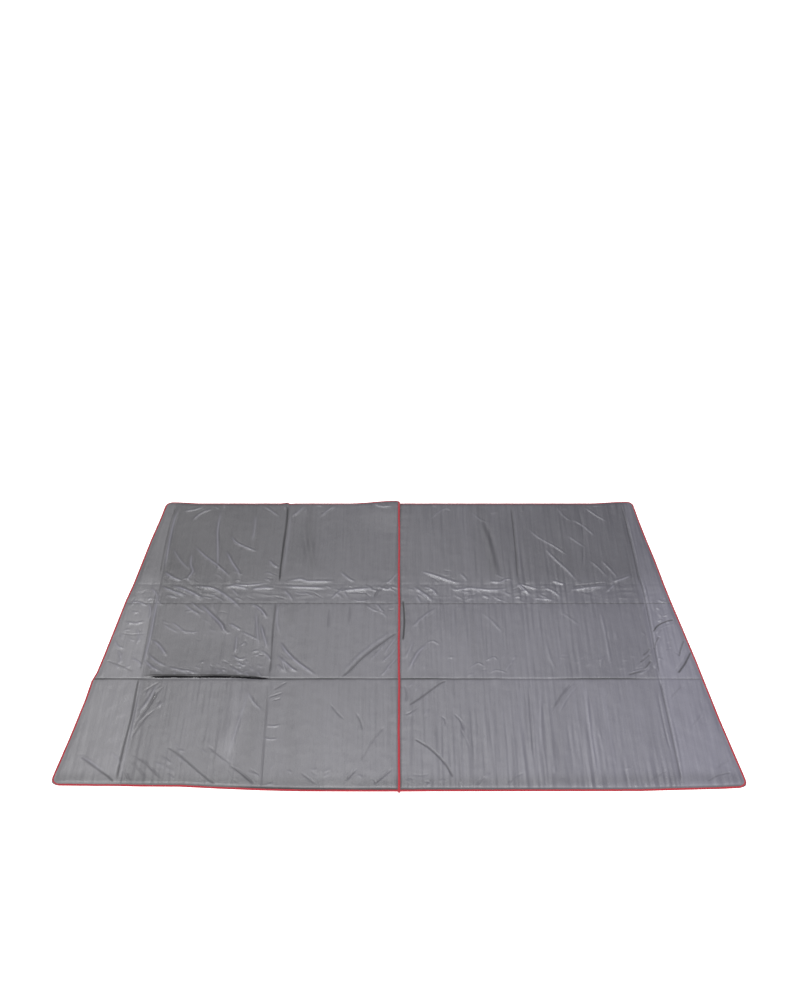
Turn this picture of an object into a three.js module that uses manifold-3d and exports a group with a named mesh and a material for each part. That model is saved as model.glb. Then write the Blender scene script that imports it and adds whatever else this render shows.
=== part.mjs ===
// A large folding padded ground blanket, lying open on a flat surface.
// Units are millimetres, +Z is up, and the origin is on the ground under the middle of the blanket.
// X runs along the blanket's long side, and Y from its wide (near) edge to its narrow (far) edge.
//
// The blanket is a trapezoid, folded along two lines that run across it (the thirds) and five that
// run from the near edge to the far one. Those seven lines cut it into 18 cells, in 3 rows of 6.
// Each of the 12 inner cells is a cloth cover sewn into a sleeve, with a foam pad inside it. The 6
// tapered flap cells at the two ends are each one padded piece. Red tape, folded over the edge into
// a channel, binds the whole outline, and also the edge of the left half where it meets the right.
// Where the blanket folds into thirds, the two layers of the cover are sewn flat into a narrow strip
// with no foam in it.

import * as THREE from "three";
import { mergeVertices } from "three/addons/utils/BufferGeometryUtils.js";
import Module from "manifold-3d";

const wasm = await Module();
wasm.setup();

// ---- driving dimensions ----
const DEPTH = 2040; // near edge to far edge
const HALF_FAR = 1270; // half of the far edge
const HALF_NEAR = 1510; // half of the near edge
const CORNER_R = 40; // rounding of the four outer corners
const THICK = 6; // whole thickness
const CLOTH = 0.5; // one layer of the cover
const GAP = 0.3; // clearance between pieces that touch
const FOLD_ROW = 340; // the two folds into thirds, at y = -340 and +340
const FOLD_QUARTER = 608; // folds between the inner and outer cells
const FOLD_FLAP = 1216; // folds between the outer cells and the flaps
const FOLD_CLEAR = 0.5; // a cell's distance from a lengthwise fold line
const STRIP_HALF = 2; // half the width of the sewn strip on a fold into thirds
const STRIP_THICK = 1; // two layers of cloth, sewn together
const TAPE = 11; // how far the binding tape reaches in from the edge
const PAST = 8; // a cutting shape's overrun beyond the solid it cuts

// ---- colours, roughness ----
const coverCloth = () => new THREE.MeshStandardMaterial({ color: 0x86868c, roughness: 0.45, metalness: 0.0 });
const flapCloth = () => new THREE.MeshStandardMaterial({ color: 0x8b8a91, roughness: 0.45, metalness: 0.0 });
const foam = () => new THREE.MeshStandardMaterial({ color: 0xd8d8d2, roughness: 0.9, metalness: 0.0 });
const tape = () => new THREE.MeshStandardMaterial({ color: 0xc0323c, roughness: 0.7, metalness: 0.0 });

// ---- the grid of cells ----
const halfWidthAt = (y) => HALF_NEAR + ((HALF_FAR - HALF_NEAR) * (y + DEPTH / 2)) / DEPTH;
const ROWS = {
  near: { y0: -DEPTH / 2, y1: -FOLD_ROW },
  middle: { y0: -FOLD_ROW, y1: FOLD_ROW },
  far: { y0: FOLD_ROW, y1: DEPTH / 2 },
};
const COLUMNS = {
  left_flap: { x0: null, x1: -FOLD_FLAP },
  left_outer: { x0: -FOLD_FLAP, x1: -FOLD_QUARTER },
  left_inner: { x0: -FOLD_QUARTER, x1: 0 },
  right_inner: { x0: 0, x1: FOLD_QUARTER },
  right_outer: { x0: FOLD_QUARTER, x1: FOLD_FLAP },
  right_flap: { x0: FOLD_FLAP, x1: null },
};

// The outward unit normal and offset of a slanted end of the blanket: n.p <= c inside.
function slantedEnd(side) {
  const run = HALF_NEAR - HALF_FAR;
  const length = Math.hypot(DEPTH, run);
  const nx = (side * DEPTH) / length;
  const ny = run / length;
  return { nx, ny, c: nx * side * HALF_NEAR + (ny * -DEPTH) / 2 };
}

// The four bounding lines of a region, anticlockwise from the near side, each moved inwards by its inset.
// Edges of the blanket take the inset "edge", folds into thirds "row", and lengthwise folds "fold".
function region(row, column, { edge, row: rowInset, fold, left = fold, right = fold }) {
  const { y0, y1 } = ROWS[row];
  const { x0, x1 } = COLUMNS[column];
  const near = { nx: 0, ny: -1, c: -y0 - (row === "near" ? edge : rowInset), outer: row === "near" };
  const far = { nx: 0, ny: 1, c: y1 - (row === "far" ? edge : rowInset), outer: row === "far" };
  const leftLine =
    x0 === null
      ? { ...slantedEnd(-1), outer: true }
      : { nx: -1, ny: 0, c: -x0 - left, outer: false };
  const rightLine =
    x1 === null
      ? { ...slantedEnd(1), outer: true }
      : { nx: 1, ny: 0, c: x1 - right, outer: false };
  if (x0 === null) leftLine.c -= edge;
  if (x1 === null) rightLine.c -= edge;
  return outline([near, rightLine, far, leftLine], Math.max(CORNER_R - edge, 1));
}

function meet(a, b) {
  const det = a.nx * b.ny - b.nx * a.ny;
  return new THREE.Vector2((a.c * b.ny - b.c * a.ny) / det, (a.nx * b.c - b.nx * a.c) / det);
}

// The closed outline where the lines meet, with an arc where two edges of the blanket meet.
function outline(lines, radius) {
  const points = [];
  for (let i = 0; i < lines.length; i++) {
    const a = lines[i];
    const b = lines[(i + 1) % lines.length];
    if (!(a.outer && b.outer)) {
      points.push(meet(a, b));
      continue;
    }
    const centre = meet({ ...a, c: a.c - radius }, { ...b, c: b.c - radius });
    const from = Math.atan2(a.ny, a.nx);
    let to = Math.atan2(b.ny, b.nx);
    if (to < from) to += 2 * Math.PI;
    const steps = 8;
    for (let k = 0; k <= steps; k++) {
      const t = from + ((to - from) * k) / steps;
      points.push(new THREE.Vector2(centre.x + radius * Math.cos(t), centre.y + radius * Math.sin(t)));
    }
  }
  return points;
}

// A flat outline, drawn up from z0 to z1, as a closed solid.
function slab(points, z0, z1) {
  const geometry = new THREE.ExtrudeGeometry(new THREE.Shape(points), {
    depth: z1 - z0,
    bevelEnabled: false,
    curveSegments: 1,
  });
  geometry.translate(0, 0, z0);
  geometry.deleteAttribute("normal");
  geometry.deleteAttribute("uv");
  const merged = mergeVertices(geometry, 1e-4);
  return new wasm.Manifold(
    new wasm.Mesh({
      numProp: 3,
      vertProperties: new Float32Array(merged.attributes.position.array),
      triVerts: new Uint32Array(merged.index.array),
    })
  );
}

function box(x0, x1, y0, y1, z0, z1) {
  return slab(
    [new THREE.Vector2(x0, y0), new THREE.Vector2(x1, y0), new THREE.Vector2(x1, y1), new THREE.Vector2(x0, y1)],
    z0,
    z1
  );
}

const blanket = new THREE.Group();

function add(name, solid, material) {
  const mesh = solid.getMesh();
  const geometry = new THREE.BufferGeometry();
  geometry.setAttribute("position", new THREE.BufferAttribute(new Float32Array(mesh.vertProperties), 3));
  geometry.setIndex(new THREE.BufferAttribute(new Uint32Array(mesh.triVerts), 1));
  geometry.computeVertexNormals();
  const piece = new THREE.Mesh(geometry, material);
  piece.name = name;
  blanket.add(piece);
}

const ROW_INSET = STRIP_HALF + GAP; // a cell's distance from a fold into thirds
const TAPE_CLEAR = TAPE + GAP; // the cover's distance from a bound edge

for (const row of Object.keys(ROWS)) {
  for (const column of Object.keys(COLUMNS)) {
    const flap = column.endsWith("flap");
    const meetsCentre = column === "left_inner"; // its edge at x = 0 is bound

    if (flap) {
      // one padded piece, with a thinner tongue that goes into the tape's channel
      const body = slab(region(row, column, { edge: TAPE_CLEAR, row: ROW_INSET, fold: FOLD_CLEAR }), 0, THICK);
      const tongue = slab(
        region(row, column, { edge: CLOTH + GAP, row: ROW_INSET, fold: FOLD_CLEAR }),
        CLOTH + GAP,
        THICK - CLOTH - GAP
      );
      add(`flap_${row}_${column}`.replace("_flap", ""), body.add(tongue), flapCloth());
    } else {
      // the cover: a sleeve, open at its two ends, and open too where the centre tape takes its edge
      const right = meetsCentre ? FOLD_CLEAR + TAPE_CLEAR : FOLD_CLEAR;
      const sleeve = slab(
        region(row, column, { edge: TAPE_CLEAR, row: ROW_INSET, fold: FOLD_CLEAR, right }),
        0,
        THICK
      ).subtract(
        slab(
          region(row, column, {
            edge: -PAST,
            row: -PAST,
            fold: FOLD_CLEAR + CLOTH,
            right: meetsCentre ? -PAST : FOLD_CLEAR + CLOTH,
          }),
          CLOTH,
          THICK - CLOTH
        )
      );
      add(`cover_${row}_${column}`, sleeve, coverCloth());

      // the pad, which reaches on into the channels of the tape
      const clear = CLOTH + GAP;
      add(
        `pad_${row}_${column}`,
        slab(
          region(row, column, { edge: clear, row: ROW_INSET + GAP, fold: FOLD_CLEAR + clear }),
          clear,
          THICK - clear
        ),
        foam()
      );
    }

    // the tape on the blanket's outline: a channel round the edge, its lips level with the cover
    if (flap || row !== "middle") {
      const channel = slab(region(row, column, { edge: 0, row: ROW_INSET, fold: FOLD_CLEAR }), 0, THICK)
        .subtract(slab(region(row, column, { edge: TAPE, row: -PAST, fold: -PAST }), -1, THICK + 1))
        .subtract(slab(region(row, column, { edge: CLOTH, row: -PAST, fold: -PAST }), CLOTH, THICK - CLOTH));
      add(`binding_${row}_${column}`, channel, tape());
    }

    // the tape on the left half's edge at the centre, between the tapes of the near and far edges
    if (meetsCentre) {
      const y0 = ROWS[row].y0 + (row === "near" ? TAPE_CLEAR : ROW_INSET);
      const y1 = ROWS[row].y1 - (row === "far" ? TAPE_CLEAR : ROW_INSET);
      const x1 = -FOLD_CLEAR;
      const x0 = x1 - TAPE;
      const channel = box(x0, x1, y0, y1, 0, THICK).subtract(
        box(x0 - PAST, x1 - CLOTH, y0 - PAST, y1 + PAST, CLOTH, THICK - CLOTH)
      );
      add(`centre_binding_${row}`, channel, tape());
    }
  }
}

// the narrow sewn strips on the two folds into thirds, one to each column of cells
for (const [row, y] of [
  ["near", -FOLD_ROW],
  ["far", FOLD_ROW],
]) {
  for (const [column, { x0, x1 }] of Object.entries(COLUMNS)) {
    const end = (yy) => halfWidthAt(yy);
    const y0 = y - STRIP_HALF;
    const y1 = y + STRIP_HALF;
    const points = [
      new THREE.Vector2(x0 === null ? -end(y0) : x0 + FOLD_CLEAR, y0),
      new THREE.Vector2(x1 === null ? end(y0) : x1 - FOLD_CLEAR, y0),
      new THREE.Vector2(x1 === null ? end(y1) : x1 - FOLD_CLEAR, y1),
      new THREE.Vector2(x0 === null ? -end(y1) : x0 + FOLD_CLEAR, y1),
    ];
    add(`fold_strip_${row}_${column}`, slab(points, 0, STRIP_THICK), coverCloth());
  }
}

export default blanket;
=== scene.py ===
import math
import bpy
import numpy as np
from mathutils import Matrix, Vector


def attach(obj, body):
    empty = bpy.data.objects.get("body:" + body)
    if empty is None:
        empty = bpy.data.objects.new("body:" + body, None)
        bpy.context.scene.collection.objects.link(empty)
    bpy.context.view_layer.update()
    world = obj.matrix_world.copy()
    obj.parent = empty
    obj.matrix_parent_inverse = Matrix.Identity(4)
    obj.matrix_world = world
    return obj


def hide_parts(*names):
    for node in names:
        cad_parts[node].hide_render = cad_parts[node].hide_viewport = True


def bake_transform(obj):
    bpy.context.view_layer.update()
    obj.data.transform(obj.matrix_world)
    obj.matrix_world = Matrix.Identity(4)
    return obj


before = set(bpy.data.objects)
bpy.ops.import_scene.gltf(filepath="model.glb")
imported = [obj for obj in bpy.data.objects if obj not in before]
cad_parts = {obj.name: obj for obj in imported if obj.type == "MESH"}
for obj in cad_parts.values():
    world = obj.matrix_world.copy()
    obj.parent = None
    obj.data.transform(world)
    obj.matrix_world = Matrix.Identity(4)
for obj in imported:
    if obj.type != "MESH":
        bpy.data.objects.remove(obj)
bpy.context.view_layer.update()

# ------------------------------------------------------------------ sizes, in metres, as in the CAD model
DEPTH = 2.040
HALF_FAR = 1.270
HALF_NEAR = 1.510
CORNER_R = 0.040
THICK = 0.006
FOLD_ROW = 0.340
FOLD_QUARTER = 0.608
FOLD_FLAP = 1.216
SEAM_Y = 0.194                  # the stitched line in the far half of the middle row
TAPE = 0.0092

# half widths of the strips that bend at each fold
W_NEAR, W_FAR = 0.007, 0.009
W_FLAP, W_QUARTER, W_CENTRE = 0.007, 0.009, 0.013

ROWS = ("near", "middle", "far")
COLS = ("left_flap", "left_outer", "left_inner", "right_inner", "right_outer", "right_flap")
ROW_Y = {"near": (-DEPTH / 2, -FOLD_ROW), "middle": (-FOLD_ROW, FOLD_ROW), "far": (FOLD_ROW, DEPTH / 2)}
COL_X = {"left_flap": (None, -FOLD_FLAP), "left_outer": (-FOLD_FLAP, -FOLD_QUARTER), "left_inner": (-FOLD_QUARTER, 0.0),
         "right_inner": (0.0, FOLD_QUARTER), "right_outer": (FOLD_QUARTER, FOLD_FLAP), "right_flap": (FOLD_FLAP, None)}
COL_HALF = {-FOLD_FLAP: W_FLAP, -FOLD_QUARTER: W_QUARTER, 0.0: W_CENTRE, FOLD_QUARTER: W_QUARTER, FOLD_FLAP: W_FLAP}
ROW_HALF = {-FOLD_ROW: W_NEAR, FOLD_ROW: W_FAR}


def half_width(y):
    return HALF_NEAR + (HALF_FAR - HALF_NEAR) * (np.asarray(y) + DEPTH / 2) / DEPTH


# ------------------------------------------------------------------ the camera
CAM_Y, CAM_Z, PITCH, FOCAL_PX = -5.245, 4.782, math.radians(37.21), 1448.5
cam_data = bpy.data.cameras.new("camera")
cam_data.sensor_width = 36.0
cam_data.sensor_fit = "AUTO"
cam_data.lens = FOCAL_PX / 1000.0 * 36.0
cam_data.clip_end = 100
cam = bpy.data.objects.new("camera", cam_data)
bpy.context.scene.collection.objects.link(cam)
cam.location = (0, CAM_Y, CAM_Z)
cam.rotation_euler = (math.pi / 2 - PITCH, 0, 0)
bpy.context.scene.camera = cam


def ground(u, v):
    """The ground point under a place in the 800 x 1000 frame, as the camera above sees it."""
    depth = 8697.5 / (v + 600.0)
    return (u - 400.0) * depth / FOCAL_PX, (depth - 2.892) / 0.7964 - 5.245


# ------------------------------------------------------------------ smooth helpers
def smooth(t):
    t = np.clip(t, 0, 1)
    return t * t * (3 - 2 * t)


# The outline is not quite the plain trapezoid: its edges bow a little. Each table is (place along, offset outwards).
def edge_table(pixels, straight):
    rows = []
    for u, v in pixels:
        x, y = ground(u, v)
        rows.append(straight(x, y))
    rows.sort()
    a = np.array(rows)
    return a[:, 0], a[:, 1]


LEFT_PX = [(166, 505), (160, 520), (151, 540), (143, 560), (133, 585), (126, 600), (118, 620), (110, 640), (102, 660),
           (96.5, 673), (91.5, 681), (85, 700), (77, 720), (69, 740), (60.5, 760), (54, 775)]
RIGHT_PX = [(633, 505), (638.5, 520), (646.5, 540), (655, 560), (664.5, 585), (670.5, 600), (679, 620), (687.5, 640),
            (696, 660), (704, 680), (712, 700), (720, 720), (728.5, 740), (737, 760), (743.5, 775)]
NEAR_PX = [(60, 785.8), (100, 786.2), (115, 786.2), (140, 786.8), (180, 787.0), (220, 789.0), (260, 790.6), (300, 791.6),
           (350, 792.8), (395, 792.2), (410, 792.0), (430, 791.6), (460, 791.6), (540, 791.5), (640, 791.3), (680, 790.2),
           (720, 789.2), (740, 788.2)]
LX, LO = edge_table(LEFT_PX, lambda x, y: (y, -x - float(half_width(y))))
RX, RO = edge_table(RIGHT_PX, lambda x, y: (y, x - float(half_width(y))))
NX, NO = edge_table(NEAR_PX, lambda x, y: (x, -DEPTH / 2 - y))
NO = np.minimum(NO, 0.0095)        # no farther out than the fold into thirds at the far side leaves room for


def warp(x, y):
    """From the plain outline of the CAD model to the real one, in plan."""
    x, y = np.asarray(x, float), np.asarray(y, float)
    hw = half_width(y)
    side = smooth((np.abs(x) - FOLD_FLAP - 0.02) / (hw - FOLD_FLAP - 0.02))
    out = np.where(x < 0, np.interp(y, LX, LO), np.interp(y, RX, RO))
    out = np.clip(out, -0.02, 0.02)
    near = smooth((-y - 0.36) / (DEPTH / 2 - 0.36))
    down = np.clip(np.interp(x, NX, NO), -0.035, 0.02)
    far = smooth((y - 0.60) / (DEPTH / 2 - 0.60))
    # the far corner of the left half, at the centre, stands a little further out
    up = 0.014 * smooth((x + 0.26) / 0.24) * (x < 0.0) * smooth((-x) / 0.012)
    # and its edge is nicked at the fold beside that
    up = up + 0.007 * smooth((x + 0.650) / 0.040) * smooth((-0.604 - x) / 0.004) - 0.003 * smooth((x + 0.606) / 0.004) * smooth((-0.560 - x) / 0.04)
    # the two far corners at the ends are pulled out a little
    up = up + 0.014 * smooth((x - 1.02) / 0.20) + 0.010 * smooth((-x - 1.08) / 0.14)
    return x + np.sign(x) * side * out, y - near * down + far * up


# ------------------------------------------------------------------ the height of the upper cloth
G = 0.0025
GX = np.arange(-1.60, 1.60 + G, G)
GY = np.arange(-1.10, 1.10 + G, G)
XX, YY = np.meshgrid(GX, GY)
field = np.zeros_like(XX)
painted_shade = np.zeros_like(XX)       # painted shade, darkest in the hard creases, for the material
painted_highlight = np.zeros_like(XX)       # painted highlight along narrow ridges, for the material


def noise(lx, ly, seed):
    """Smooth noise of unit spread; lx and ly are its grain along X and Y."""
    rng = np.random.default_rng(seed)
    n = rng.standard_normal(XX.shape)
    fx = np.fft.fftfreq(XX.shape[1], G)[None, :]
    fy = np.fft.fftfreq(XX.shape[0], G)[:, None]
    k = np.exp(-2 * (math.pi ** 2) * ((fx * lx) ** 2 + (fy * ly) ** 2))
    out = np.real(np.fft.ifft2(np.fft.fft2(n) * k))
    return out / out.std()


RELIEF = 2.0
NARROW = 0.80


def distance_to(points):
    """A line of points, made a denser smooth curve through them when there are more than two."""
    p = np.array(points, float)
    if len(p) > 2:                                      # a smooth curve through the points
        q = []
        ext = np.vstack([2 * p[0] - p[1], p, 2 * p[-1] - p[-2]])
        for i in range(1, len(ext) - 2):
            a, b, c, d = ext[i - 1], ext[i], ext[i + 1], ext[i + 2]
            for t in np.linspace(0, 1, 6, endpoint=False):
                q.append(0.5 * (2 * b + (c - a) * t + (2 * a - 5 * b + 4 * c - d) * t ** 2 + (3 * b - a - 3 * c + d) * t ** 3))
        q.append(p[-1])
        p = np.array(q)
    return p


def stroke(px, amp, width, kind="R", taper=0.3, wobble=0.25, dark=0.0, in_frame=True):
    """A crease or ridge of the cloth along a line. R is a ridge, D a valley, S a step that is higher on the far or left
    side. dark paints shade along the line into the colour.
    """
    global field
    pts = [ground(u, v) for u, v in px] if in_frame else px
    p = distance_to(pts)
    amp, width = amp / 1000.0, (1.2 if kind == "R" else NARROW) * width / 1000.0
    reach = 5 * width + 0.004
    x0, x1 = p[:, 0].min() - reach, p[:, 0].max() + reach
    y0, y1 = p[:, 1].min() - reach, p[:, 1].max() + reach
    i0, i1 = np.searchsorted(GX, [x0, x1])
    j0, j1 = np.searchsorted(GY, [y0, y1])
    if i1 - i0 < 2 or j1 - j0 < 2:
        return
    X, Y = XX[j0:j1, i0:i1], YY[j0:j1, i0:i1]
    best = np.full(X.shape, 1e9)
    sign = np.zeros(X.shape)
    along = np.zeros(X.shape)
    seg = np.hypot(*(p[1:] - p[:-1]).T)
    total = seg.sum()
    run = 0.0
    for (ax, ay), (bx, by), s in zip(p[:-1], p[1:], seg):
        if s < 1e-9:
            continue
        t = np.clip(((X - ax) * (bx - ax) + (Y - ay) * (by - ay)) / s ** 2, 0, 1)
        dx, dy = X - ax - t * (bx - ax), Y - ay - t * (by - ay)
        d = np.hypot(dx, dy)
        near = d < best
        best = np.where(near, d, best)
        side = (bx - ax) * dy - (by - ay) * dx
        sign = np.where(near, np.sign(side), sign)
        along = np.where(near, (run + t * s) / total, along)
        run += s
    fade = smooth(along / max(taper, 1e-3)) * smooth((1 - along) / max(taper, 1e-3)) if taper > 0 else 1.0
    vary = 1 + wobble * np.sin(along * total / 0.045 + 3.1 * pts[0][0] * 100) * (wobble > 0)
    r = best / width
    peak = 0.60 * np.exp(-0.5 * (r / 0.8) ** 2) + 0.40 * np.exp(-1.0 * (np.sqrt(r * r + 0.08) - 0.283))
    # the cloth is drawn down a little on one side of each crease
    peak = peak - 0.16 * np.exp(-0.5 * ((r - 2.3) / 0.8) ** 2) * (0.65 + 0.35 * sign)
    if kind == "R":
        shape = peak
    elif kind == "D":
        shape = -peak
    else:
        shape = sign * r * np.exp(0.5 - 0.5 * r * r)
    field[j0:j1, i0:i1] += RELIEF * amp * shape * fade * vary
    # narrow ridges get a painted highlight along their top
    if kind == "R":
        ridge_highlight = np.clip(amp / 0.0014, 0, 1) * np.exp(-0.5 * (best / (0.75 * width)) ** 2) * fade * (width < 0.012)
        painted_highlight[j0:j1, i0:i1] = np.maximum(painted_highlight[j0:j1, i0:i1], ridge_highlight)
    # painted shade along the line, darkening the colour
    if dark:
        painted_shade[j0:j1, i0:i1] = np.maximum(painted_shade[j0:j1, i0:i1], dark * np.exp(-0.5 * r * r) * fade)


def sample(array, x, y):
    """The grid's value between its points."""
    fx = np.clip((np.asarray(x) - GX[0]) / G, 0, len(GX) - 1.001)
    fy = np.clip((np.asarray(y) - GY[0]) / G, 0, len(GY) - 1.001)
    i, j = fx.astype(int), fy.astype(int)
    a, b = fx - i, fy - j
    return ((array[j, i] * (1 - a) + array[j, i + 1] * a) * (1 - b) + (array[j + 1, i] * (1 - a) + array[j + 1, i + 1] * a) * b)
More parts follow.
